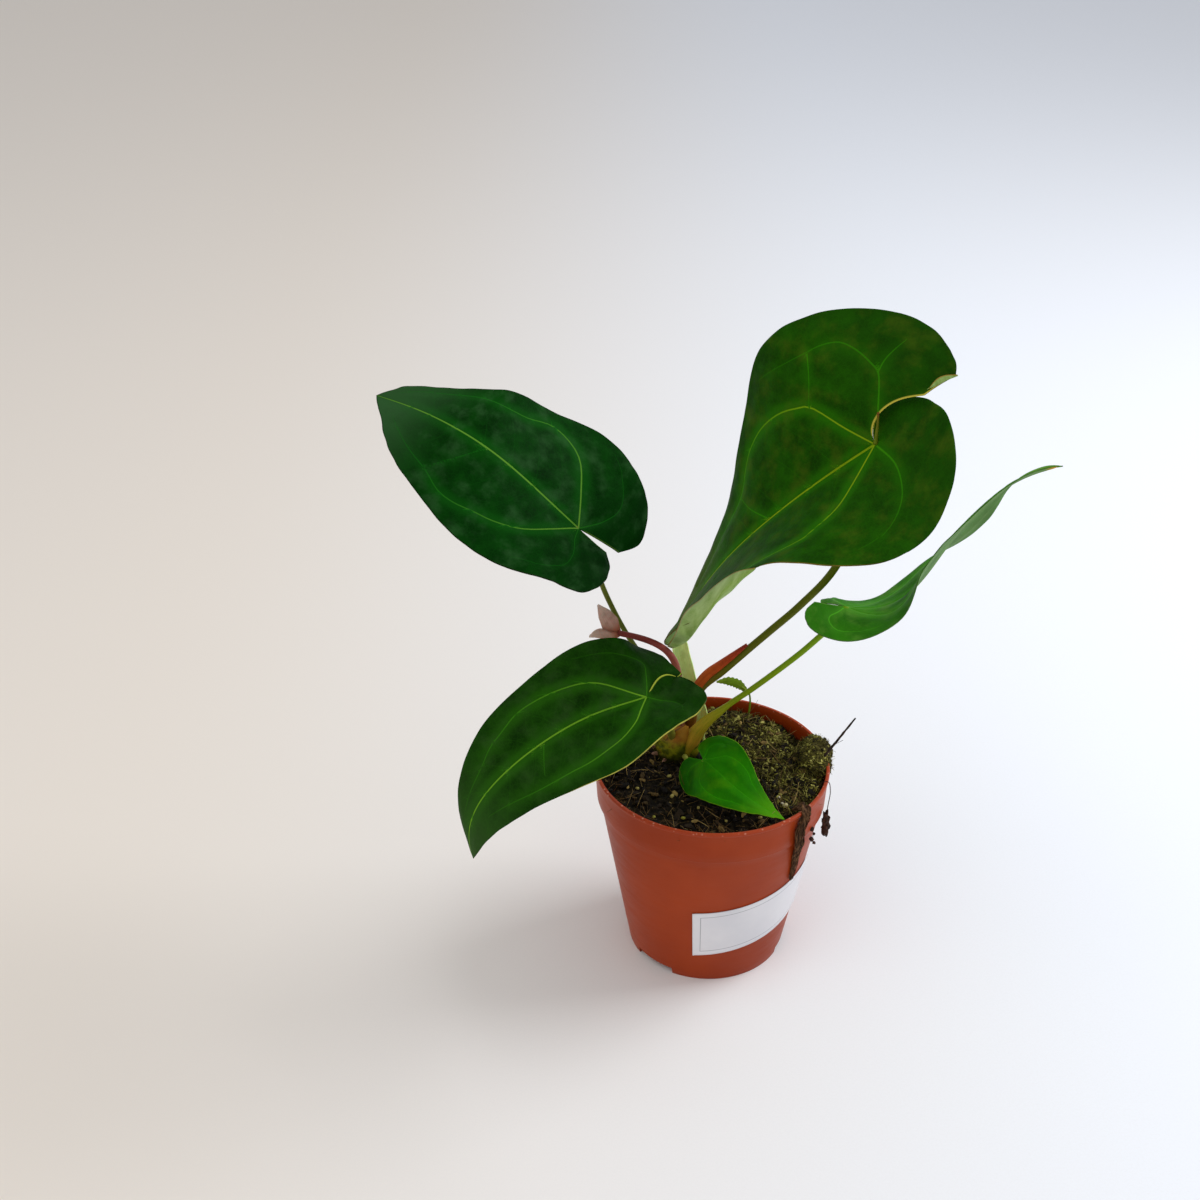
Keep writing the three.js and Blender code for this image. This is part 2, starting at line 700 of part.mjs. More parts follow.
function leafStalk(leaf, extra) {
  const { point, up } = midribOf(leaf)(0);
  const [[x, y, z], ...rest] = leaf.stalk;
  const route = [
    [x, y, z - extra],
    ...rest,
    point.clone().addScaledVector(up, -KNEE.bend * leaf.to).toArray(),
    point.toArray(),
  ];
  const radiusAt = (along) => {
    const base = THREE.MathUtils.lerp(leaf.from, leaf.to, Math.min(1, along / STALK_FOOT));
    const nearness = Math.max(0, 1 - Math.abs(along - KNEE.at) / KNEE.halfLength);
    return base + KNEE.swell * leaf.to * nearness + extra;
  };
  return stalkAlong(route, radiusAt, STALK_STEPS, STALK_SIDES);
}

// A leaf scale that wraps a stalk: a strip with a rounded section, from its foot to its pointed end.
const SCALES = {
  stalk_sheath: {
    route: [
      [-10, 20, 131],
      [-8.6, 19.6, 142],
      [-3.4, 19.6, 150.4],
      [3, 19.4, 156.2],
      [10.2, 19.2, 162.6],
      [16.8, 19, 168.6],
    ],
    out: [-0.55, -0.6, 0.6],
    widths: [4, 6, 6.4, 5.6, 3.8, 1.4],
    depth: 0.32,
    colour: 0x8a4a24,
  },
  bud_sheath: {
    route: [
      [-7, 27, 106],
      [-4.6, 28.5, 120],
      [-9, 30, 134],
      [-12.9, 32, 146.5],
      [-15.4, 34, 156.2],
      [-16.2, 36, 163.5],
      [-15.2, 37, 169],
    ],
    out: [-0.1, -1, 0.2],
    widths: [9, 7.6, 6.4, 7.2, 8.4, 8, 3],
    depth: -0.22,
    colour: 0x8fae6c,
  },
};
const SCALE_ROWS = 8;
const SCALE_THICKNESS = 0.8;

function scale({ route, out, widths, depth }, thickness = SCALE_THICKNESS) {
  const curve = curveThrough(route);
  const outward = new THREE.Vector3(...out).normalize();
  const rows = [];
  for (let i = 0; i <= SCALE_ROWS; i++) {
    const along = i / SCALE_ROWS;
    const tangent = curve.getTangentAt(along);
    const across = tangent.clone().cross(outward).normalize();
    const face = across.clone().cross(tangent).normalize();
    const place = along * (widths.length - 1);
    const w = Math.min(Math.floor(place), widths.length - 2);
    const width = THREE.MathUtils.lerp(widths[w], widths[w + 1], place - w);
    const row = [-0.5, -0.25, 0, 0.25, 0.5].map((share) => {
      const point = curve.getPointAt(along).addScaledVector(across, width * share);
      return point.addScaledVector(face, -4 * share * share * width * depth);
    });
    rows.push(row);
  }
  return strip(rows, thickness);
}

// The flower stalk, bent over to the left, with the withered bract at its end.
const FLOWER_STALK = {
  route: [
    [-16, 22, 108],
    [-15.5, 20, 122],
    [-16.8, 16, 143],
    [-18.9, 11, 161],
    [-22.8, 7, 171],
    [-27.1, 5, 176.3],
    [-33.4, 3, 181],
    [-41.6, 2, 184.4],
    [-48.5, 2, 186],
  ],
  from: 2.5,
  to: 1.4,
  colour: 0x6e3a2c,
};

function flowerStalk(extra) {
  const [x, y, z] = FLOWER_STALK.route.at(-1);
  const route = [...FLOWER_STALK.route.slice(0, -1), [x - extra, y, z]];
  const radiusAt = (along) => THREE.MathUtils.lerp(FLOWER_STALK.from, FLOWER_STALK.to, along) + extra;
  return stalkAlong(route, radiusAt, STALK_STEPS, STALK_SIDES);
}

const BRACT = {
  upright: {
    route: [[-48.2, 2, 185.4], [-51, 1.4, 190], [-54, 0.8, 196], [-58, 0, 203.2]],
    out: [0.3, -1, 0.1],
    widths: [4, 9, 6.5, 0.8],
    depth: 0.16,
  },
  curled: {
    route: [[-48, 1.8, 186], [-53.5, -1.6, 188.2], [-58.8, -1.2, 188.6], [-62, 1.4, 185]],
    out: [0.1, -0.4, 1],
    widths: [4, 7, 6, 2.5],
    depth: 0.2,
  },
  colour: 0xa07a66,
};

// The seedling at the back: a thin stalk with a small toothed leaf at its top.
const SEEDLING = {
  route: [
    [22, 48, 98],
    [22.8, 49.5, 106],
    [23.3, 51, 112.5],
    [22.4, 51.6, 117.6],
    [18.5, 51.8, 121.4],
  ],
  radius: 0.7,
  leaf: {
    route: [[21.5, 51.5, 118.6], [16.5, 52, 123], [11, 52.2, 124.8], [5, 52.5, 124.1]],
    out: [0, -0.7, 0.8],
    widths: [2, 5.6, 5.2, 1],
    depth: 0.08,
  },
  colour: 0x5b8a3a,
};

// The dark twig that stands in the moss at the right.
const TWIG = {
  route: [
    [53, 4, 100],
    [55, 3, 107],
    [58.3, 1.5, 113.5],
    [64.5, 0.8, 124.5],
    [71.5, 0.5, 136.5],
  ],
  radius: 0.7,
};

// A thin stalk of one radius that stands in a hole: with some extra it is the cutter for that hole.
function thinStalk({ route, radius }, extra) {
  const [[x, y, z], ...rest] = route;
  return stalkAlong([[x, y, z - extra], ...rest], () => radius + extra, 10, 6);
}

// The strip of moss and root that hangs over the rim at the front right, against the wall. Each row
// has an angle about the pot, a distance from the axis, a height and a width.
const ROOT_STRIP = {
  outside: GAP + 0.7,
  thickness: 1.2,
  colour: 0x4b4a22,
};
const STRIP_ROWS = [
  [-40, 51, 104.9, 3.5],
  [-41.5, 56, 110, 4.2],
  [-42.5, 59, POT_HEIGHT + ROOT_STRIP.outside, 4.6],
  [-44, RIM_RADIUS + ROOT_STRIP.outside, 108.5, 4.6],
  [-47.5, RIM_RADIUS + ROOT_STRIP.outside, 101, 4.2],
  [-47, RIM_RADIUS + ROOT_STRIP.outside - 0.6, 92, 3.8],
  [-44.5, wallRadius(84) + ROOT_STRIP.outside + 0.4, 84, 3.2],
  [-42.5, wallRadius(73) + ROOT_STRIP.outside, 73, 2.6],
  [-41.5, wallRadius(62) + ROOT_STRIP.outside, 62, 1.4],
];

function rootStrip() {
  const rows = STRIP_ROWS.map(([angle, radius, z, width]) => {
    const turn = THREE.MathUtils.degToRad(angle);
    const middle = new THREE.Vector3(radius * Math.cos(turn), radius * Math.sin(turn), z);
    const across = new THREE.Vector3(-Math.sin(turn), Math.cos(turn), 0);
    return [-0.5, 0.5].map((share) => middle.clone().addScaledVector(across, share * width));
  });
  return strip(rows, ROOT_STRIP.thickness);
}

// The bark crumb on a root thread that hangs over the rim at the right.
const CRUMB = {
  route: [
    [51, -17, 99],
    [52.5, -17.8, 106],
    [54.5, -18.6, 110.8],
    [57.4, -19.4, 111.4],
    [58.6, -19.8, 106],
    [58, -19.8, 97],
    [57.2, -19.8, 87],
  ],
  radius: 0.5,
  centre: [57.4, -20.2, 85.5],
  lump: [2, 2, 7.5],
  colour: 0x3a2c1e,
};

function hangingCrumb() {
  const lump = new THREE.IcosahedronGeometry(1, 1).scale(...CRUMB.lump).translate(...CRUMB.centre);
  return thinStalk(CRUMB, 0).add(solidOf(lump));
}

// What stands in the soil or in the moss has its hole there.
const stemWithGap = stem(HOLE_GAP);
const wall = wallWithGap();
const holes = [stemWithGap, mossClump(HOLE_GAP), thinStalk(SEEDLING, HOLE_GAP), thinStalk(CRUMB, HOLE_GAP)];
add("pot", pot(), 0xa8481f, 0.45);
add("sticker", sticker(), 0xe9e9e6, 0.6);
add("soil", clearOf(soil(), ...holes), 0x2b2119, 0.95);
add("moss_clump", clearOf(mossClump(0), wall, thinStalk(TWIG, HOLE_GAP)), 0x4a5222, 0.95);
add("stem", stem(0), 0x8f8340, 0.6);

// The stalks and scales crowd together on the stem, so each is cut clear of those before it.
const placed = [stemWithGap];
for (const [name, leaf] of Object.entries(LEAVES)) {
  const stalk = clearOf(leafStalk(leaf, 0), ...placed, bladeWithGap(leaf));
  add(name + "_stalk", stalk, leaf.stalkColour, 0.55);
  add(name + "_blade", blade(leaf, BLADE_THICKNESS), leaf.colour, 0.4);
  placed.push(leafStalk(leaf, GAP));
}
add("flower_stalk", clearOf(flowerStalk(0), ...placed), FLOWER_STALK.colour, 0.55);
placed.push(flowerStalk(GAP));
add("bract", clearOf(scale(BRACT.upright).add(scale(BRACT.curled)), ...placed), BRACT.colour, 0.8);
for (const [name, form] of Object.entries(SCALES)) {
  add(name, clearOf(scale(form), ...placed), form.colour, 0.6);
  placed.push(scale(form, SCALE_THICKNESS + 2 * GAP));
}
add("seedling", thinStalk(SEEDLING, 0).add(scale(SEEDLING.leaf)), SEEDLING.colour, 0.6);
add("twig", thinStalk(TWIG, 0), 0x2c2018, 0.9);
add("root_strip", clearOf(rootStrip(), wall), ROOT_STRIP.colour, 0.95);
add("hanging_crumb", clearOf(hangingCrumb(), wall), CRUMB.colour, 0.95);

export default plant;
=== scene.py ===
# %% [markdown]
# # A potted anthurium
# The plant is a young anthurium with dark satin leaves, in a nursery pot of 12 cm. The frame already
# holds every piece at its real size and place, as plain solids. This lesson gives each of them its fine
# surface: veined blades, grooved stalks, papery scales, moulded plastic, and peat with moss in it.
#
# All lengths below are millimetres until they become mesh points, because leaves are easier to think of
# that way. The plant's own shapes repeat the few numbers that they are bent by, so the fine pieces lie
# where the plain ones are.

# %% Load the frame
import math

import bmesh
import bpy
import numpy as np
from mathutils import Matrix, Vector, noise


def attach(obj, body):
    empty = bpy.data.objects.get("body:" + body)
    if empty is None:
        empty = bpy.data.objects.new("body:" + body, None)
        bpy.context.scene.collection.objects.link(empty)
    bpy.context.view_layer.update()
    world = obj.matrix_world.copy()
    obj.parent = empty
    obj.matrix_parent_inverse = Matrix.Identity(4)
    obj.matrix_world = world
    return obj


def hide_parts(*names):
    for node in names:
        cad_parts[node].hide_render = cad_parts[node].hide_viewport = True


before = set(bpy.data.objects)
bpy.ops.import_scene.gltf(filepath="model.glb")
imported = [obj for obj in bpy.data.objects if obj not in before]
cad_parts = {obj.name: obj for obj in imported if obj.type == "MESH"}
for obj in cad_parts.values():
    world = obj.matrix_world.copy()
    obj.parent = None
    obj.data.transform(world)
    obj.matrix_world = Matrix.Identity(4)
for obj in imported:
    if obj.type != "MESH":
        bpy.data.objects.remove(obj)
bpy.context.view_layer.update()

MM = 0.001
print("nodes in the frame:", len(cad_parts))

# %% [markdown]
# ## Camera, floor and light
# The camera stands in front of the plant and looks about 31 degrees down. A lens is easiest to match
# as a length in pixels of the picture, which the sensor's width turns into a focal length.
#
# The light is a big soft window on the right and a little behind, with a pale room all round. Dark
# leaves only look deep when the room isn't too bright in front of them, so the sky is kept moderate and
# the window gives the direction. A weak warm lamp on the left fills the shadows. Standard colour keeps
# the greens as strong as they are mixed here.

# %% Camera
PICTURE_PIXELS = 1200
LENS_PIXELS = 1750
SENSOR_WIDTH = 36
CAMERA_PLACE = (-0.057, -0.726, 0.637)
CAMERA_DOWN = 30.7

lens = bpy.data.cameras.new("front_camera")
lens.sensor_width = SENSOR_WIDTH
lens.lens = LENS_PIXELS * SENSOR_WIDTH / PICTURE_PIXELS
camera = bpy.data.objects.new("front_camera", lens)
camera.location = CAMERA_PLACE
camera.rotation_euler = (math.radians(90 - CAMERA_DOWN), 0, 0)
bpy.context.collection.objects.link(camera)
bpy.context.scene.camera = camera
print("focal length:", lens.lens, "mm")


# %% [markdown]
# ## Mixing finishes
# Every finish below is mixed from the same few things: noise, cells, fades and ramps of colours. A small
# class keeps the words for them short. Scales, the ends of fades and shares of a tone were tuned
# against the picture, so they stand as plain numbers where a finish uses them.

# %% A small kit for mixing finishes
def colour(red, green, blue):
    """A screen colour, 0 to 255, as the linear colour that a shader takes."""
    shares = [value / 255 for value in (red, green, blue)]
    linear = [s / 12.92 if s <= 0.04045 else ((s + 0.055) / 1.055) ** 2.4 for s in shares]
    return (*linear, 1)


class Finish:
    """One material in the making, with short words for the nodes that the finishes below use."""

    def __init__(self, name):
        self.material = bpy.data.materials.new(name)
        self.material.use_nodes = True
        self.tree = self.material.node_tree
        self.shader = self.tree.nodes["Principled BSDF"]

    def feed(self, socket, value):
        if isinstance(value, bpy.types.NodeSocket):
            self.tree.links.new(value, socket)
        else:
            socket.default_value = value

    def node(self, kind, inputs=None, **settings):
        made = self.tree.nodes.new("ShaderNode" + kind)
        for key, value in settings.items():
            setattr(made, key, value)
        for key, value in (inputs or {}).items():
            self.feed(made.inputs[key], value)
        return made

    def place(self, stretch=(1, 1, 1)):
        """Where a point is on the object, in metres, stretched along an axis if asked."""
        place = self.node("TexCoord").outputs["Object"]
        return self.node("Mapping", {"Vector": place, "Scale": stretch}).outputs["Vector"]

    def mark(self, name):
        """A number that the mesh carries at each point."""
        return self.node("Attribute", attribute_name=name).outputs["Fac"]

    def marked_place(self, along, across, stretch=(1, 1, 1)):
        """A flat place on the surface, from two of the mesh's numbers, so that a pattern follows it."""
        flat = self.node("CombineXYZ", {"X": self.mark(along), "Y": self.mark(across)}).outputs[0]
        return self.node("Mapping", {"Vector": flat, "Scale": stretch}).outputs["Vector"]

    def noise(self, place, scale, detail=3.0, roughness=0.55):
        inputs = {"Vector": place, "Scale": scale, "Detail": detail, "Roughness": roughness}
        return self.node("TexNoise", inputs).outputs[0]

    def cells(self, place, scale, feature="F1"):
        return self.node("TexVoronoi", {"Vector": place, "Scale": scale}, feature=feature).outputs["Distance"]

    def fade(self, value, start, end, low=0.0, high=1.0):
        """low where value is at start, high at end, and smooth between them."""
        inputs = {"Value": value, "From Min": start, "From Max": end, "To Min": low, "To Max": high}
        return self.node("MapRange", inputs, interpolation_type="SMOOTHSTEP").outputs[0]

    def sum(self, operation, first, second=0.0):
        return self.node("Math", {0: first, 1: second}, operation=operation).outputs[0]

    def times(self, first, second):
        return self.sum("MULTIPLY", first, second)

    def blend(self, share, first, second):
        return self.node("Mix", {0: share, 6: first, 7: second}, data_type="RGBA").outputs[2]

    def over(self, under, tone, value, start, end, share=1.0):
        """The tone laid over another, up to the share, as the value goes from start to end."""
        return self.blend(self.fade(value, start, end, 0, share), under, tone)

    def ramp(self, share, stops):
        """Colours in turn. Each stop is its point of the share, then its red, green and blue."""
        made = self.node("ValToRGB", {"Fac": share})
        elements = made.color_ramp.elements
        for _ in range(len(stops) - 2):
            elements.new(0.5)
        for element, (at, *tone) in zip(elements, stops):
            element.position = at
            element.color = colour(*tone)
        return made.outputs["Color"]

    def bump(self, height, distance, strength=1.0, under=None):
        inputs = {"Height": height, "Distance": distance * MM, "Strength": strength}
        if under is not None:
            inputs["Normal"] = under
        return self.node("Bump", inputs).outputs["Normal"]

    def done(self, tone, roughness, normal=None, shine=0.1, **sockets):
        self.feed(self.shader.inputs["Base Color"], tone)
        self.feed(self.shader.inputs["Roughness"], roughness)
        self.feed(self.shader.inputs["Specular IOR Level"], shine)
        if normal is not None:
            self.feed(self.shader.inputs["Normal"], normal)
        for name, value in sockets.items():
            self.shader.inputs[name.replace("_", " ")].default_value = value
        return self.material


print("middle grey as a linear colour:", round(colour(128, 128, 128)[0], 3))

# %% Floor and light
FLOOR_SIZE = 14
WINDOW_PLACE = (1.15, 0.35, 1.2)
WINDOW_SIZE = 0.9
WINDOW_POWER = 16
WINDOW_TONE = (0.95, 0.97, 1.0)
FILL_PLACE = (-0.9, -0.7, 1.4)
FILL_SIZE = 1.6
FILL_POWER = 6
FILL_TONE = (1.0, 0.91, 0.8)
ROOM_TONE = (0.93, 0.95, 1.0, 1)
ROOM_STRENGTH = 0.6
LIT_POINT = Vector((0, 0, 0.15))


def floor_finish():
    mix = Finish("pale_floor")
    sides = mix.node("SeparateXYZ", {"Vector": mix.place()}).outputs["X"]
    # Painted shade and light: the floor is painted warmer and a little darker on the left, and cooler white
    # on the right towards the window.
    tone = mix.blend(mix.fade(sides, -0.4, 0.3), colour(236, 227, 215), colour(242, 245, 250))
    grain = mix.noise(mix.place(), 900, 3)
    tone = mix.over(tone, colour(226, 224, 222), grain, 0.35, 0.7, 0.12)
    return mix.done(tone, 0.7, mix.bump(grain, 0.05, 0.2), shine=0.15)


def soft_light(name, place, size, power, tone):
    light = bpy.data.lights.new(name, "AREA")
    light.size = size
    light.energy = power
    light.color = tone
    lamp = bpy.data.objects.new(name, light)
    lamp.location = place
    lamp.rotation_euler = (LIT_POINT - Vector(place)).to_track_quat("-Z", "Y").to_euler()
    bpy.context.collection.objects.link(lamp)


ground = bmesh.new()
bmesh.ops.create_grid(ground, x_segments=1, y_segments=1, size=FLOOR_SIZE / 2)
ground_mesh = bpy.data.meshes.new("floor")
ground.to_mesh(ground_mesh)
ground.free()
ground_mesh.materials.append(floor_finish())
floor = bpy.data.objects.new("floor", ground_mesh)
bpy.context.collection.objects.link(floor)

soft_light("window", WINDOW_PLACE, WINDOW_SIZE, WINDOW_POWER, WINDOW_TONE)
soft_light("room_fill", FILL_PLACE, FILL_SIZE, FILL_POWER, FILL_TONE)
world = bpy.data.worlds.new("pale_room")
world.use_nodes = True
world.node_tree.nodes["Background"].inputs["Color"].default_value = ROOM_TONE
world.node_tree.nodes["Background"].inputs["Strength"].default_value = ROOM_STRENGTH
bpy.context.scene.world = world
bpy.context.scene.view_settings.view_transform = "Standard"
print("lit from", WINDOW_PLACE)

# %% [markdown]
# ## Laying a grid
# Most pieces of a plant are thin sheets and tubes. One way to make them all is to start from Blender's
# flat grid and lay it by a rule: a tube is a grid rolled round a route, and a leaf is a grid fanned out
# from its stalk. The rule gets each point's place on the grid, u across and v up, and gives back where it
# goes in millimetres. It can also give numbers that the mesh carries, such as how far a point is from
# the nearest vein, and the finishes read those. Rolled edges and poles are then merged shut.


# %% Grids, copies and pieces
def laid(columns, rows, rule, merge=0.02):
    """A grid of that many faces, laid by rule(u, v), which gives points in mm and numbers by name."""
    form = bmesh.new()
    bmesh.ops.create_grid(form, x_segments=columns, y_segments=rows, size=0.5)
    flat = np.array([vert.co[:2] for vert in form.verts]) + 0.5
    points, marks = rule(flat[:, 0], flat[:, 1])
    for vert, point in zip(form.verts, points * MM):
        vert.co = point
    for name, values in marks.items():
        layer = form.verts.layers.float.new(name)
        for vert, value in zip(form.verts, values):
            vert[layer] = value
    bmesh.ops.remove_doubles(form, verts=form.verts, dist=merge * MM)
    return form


def joined(forms):
    """Several forms as one."""
    whole = bmesh.new()
    for form in forms:
        mesh = bpy.data.meshes.new("part")
        form.to_mesh(mesh)
        form.free()
        whole.from_mesh(mesh)
        bpy.data.meshes.remove(mesh)
    return whole


def closed(form):
    """The form with its open ends filled and its faces turned outwards."""
    bmesh.ops.holes_fill(form, edges=[edge for edge in form.edges if edge.is_boundary], sides=0)
    bmesh.ops.recalc_face_normals(form, faces=form.faces)
    return form


def piece(name, form, finishes, replaces=(), thickness=0.0, flat=False):
    """A form, or a mesh that is ready, as a piece that rides with the pot."""
    if isinstance(form, bmesh.types.BMesh):
        mesh = bpy.data.meshes.new(name)
        form.to_mesh(mesh)
        form.free()
    else:
        mesh = form
    mesh.polygons.foreach_set("use_smooth", [not flat] * len(mesh.polygons))
    for finish in finishes:
        mesh.materials.append(finish)
    made = bpy.data.objects.new(name, mesh)
    bpy.context.collection.objects.link(made)
    if thickness:
        wall = made.modifiers.new("thickness", "SOLIDIFY")
        wall.thickness = thickness * MM
        wall.offset = 0
        wall.material_offset = 1 if len(finishes) > 1 else 0
        wall.material_offset_rim = 2 if len(finishes) > 2 else 0
    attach(made, "root")
    if replaces:
        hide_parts(*replaces)
    print(name, "has", len(mesh.polygons), "faces")
    return made


print("grids are laid in steps of", MM, "m")

# %% Curves and noise
CURVE_STEPS = 24


def smooth_between(start, end, leave, arrive, t):
    """The cubic from start to end that leaves and arrives with the slopes given, at t from 0 to 1."""
    cubed = (2 * start - 2 * end + leave + arrive) * t**3
    squared = (-3 * start + 3 * end - 2 * leave - arrive) * t**2
    return cubed + squared + leave * t + start


def curve_through(points, count):
    """count points at even steps on a smooth curve through the given ones, a centripetal Catmull-Rom."""
    ends = np.array(points, float)
    ends = np.vstack([2 * ends[0] - ends[1], ends, 2 * ends[-1] - ends[-2]])
    t = np.linspace(0, 1, CURVE_STEPS, endpoint=False)[:, None]
    fine = []
    for a, b, c, d in zip(ends, ends[1:], ends[2:], ends[3:]):
        before, here, after = (math.sqrt(np.linalg.norm(q - p)) for p, q in ((a, b), (b, c), (c, d)))
        leave = ((b - a) / before - (c - a) / (before + here) + (c - b) / here) * here
        arrive = ((c - b) / here - (d - b) / (here + after) + (d - c) / after) * here
        fine.append(smooth_between(b, c, leave, arrive, t))
    fine = np.vstack([*fine, ends[-2]])
    walked = np.concatenate([[0], np.cumsum(np.linalg.norm(np.diff(fine, axis=0), axis=1))])
    even = np.linspace(0, walked[-1], count)
    return np.stack([np.interp(even, walked, fine[:, k]) for k in range(fine.shape[1])], -1)


def eased(values, share):
    """Values at even steps, joined by a smooth curve, at a share from 0 to 1."""
    v = np.asarray(values, float)
    place = np.clip(np.asarray(share, float), 0, 1) * (len(v) - 1)
    i = np.minimum(place.astype(int), len(v) - 2)
    t = (place - i)[..., None] if v.ndim > 1 else place - i
    here, there = v[i], v[i + 1]
    leave = (there - v[np.maximum(i - 1, 0)]) / 2
    arrive = (v[np.minimum(i + 2, len(v) - 1)] - here) / 2
    return smooth_between(here, there, leave, arrive, t)


def rough(points, size, shift=0.0):
    """Smooth noise from -1 to 1 at each point, with lumps of about that size."""
    offset = Vector((shift, shift, shift))
    return np.array([noise.noise(Vector(point) / size + offset) for point in points])


def smooth_step(value, start, end):
    """0 up to start, 1 from end on, and smooth between them."""
    t = np.clip((value - start) / (end - start), 0, 1)
    return t * t * (3 - 2 * t)


print("a curve through 3 points:", curve_through([(0, 0), (1, 1), (2, 0)], 3).round(2).tolist())

# %% [markdown]
# ## The leaf blade
# An anthurium's blade is a heart. Here it is first flat, with its midrib along x, its length as 1 and
# its stalk at 0. Then the midrib is bent through space by three angles that change on the way to the tip:
# heading, pitch and roll. Each half is lifted and curled about the midrib. That is how a real leaf
# hangs, and so five leaves can come from one rule and a few angles each. A gape turns the notch's edge
# about the stalk, which opens the notch or, turned the other way, closes it.
#
# What makes this plant are its veins. A pale midrib, one strong vein on each side that arches to the tip
# and a looped vein in each lobe run in fine creases, and the blade swells a little between them. The mesh
# makes the swell and the crease, and the colour is drawn from each point's distance to the nearest vein.

# %% How the leaves lie
OUTLINE_WIDTH = 0.77
WIDTH_PLACES = [-0.02, 0.16, 0.36, 0.56, 0.75, 0.9]
STATIONS = [-0.3, 0, 0.35, 0.7, 1]
LOBE_LENGTH = 0.25
MIDRIB_STEPS = 52
LEAST_CURL = 1e-4
STRAIGHT_NOTCH = {"angle": 0, "reach": 1, "power": 1}
PLAIN_CORNERS = [(-0.2, 0.07), (-0.265, 0.16), (-0.255, 0.26), (-0.17, 0.34)]
PLAIN_WIDTHS = (0.385, 0.385, 0.335, 0.25, 0.155, 0.065)

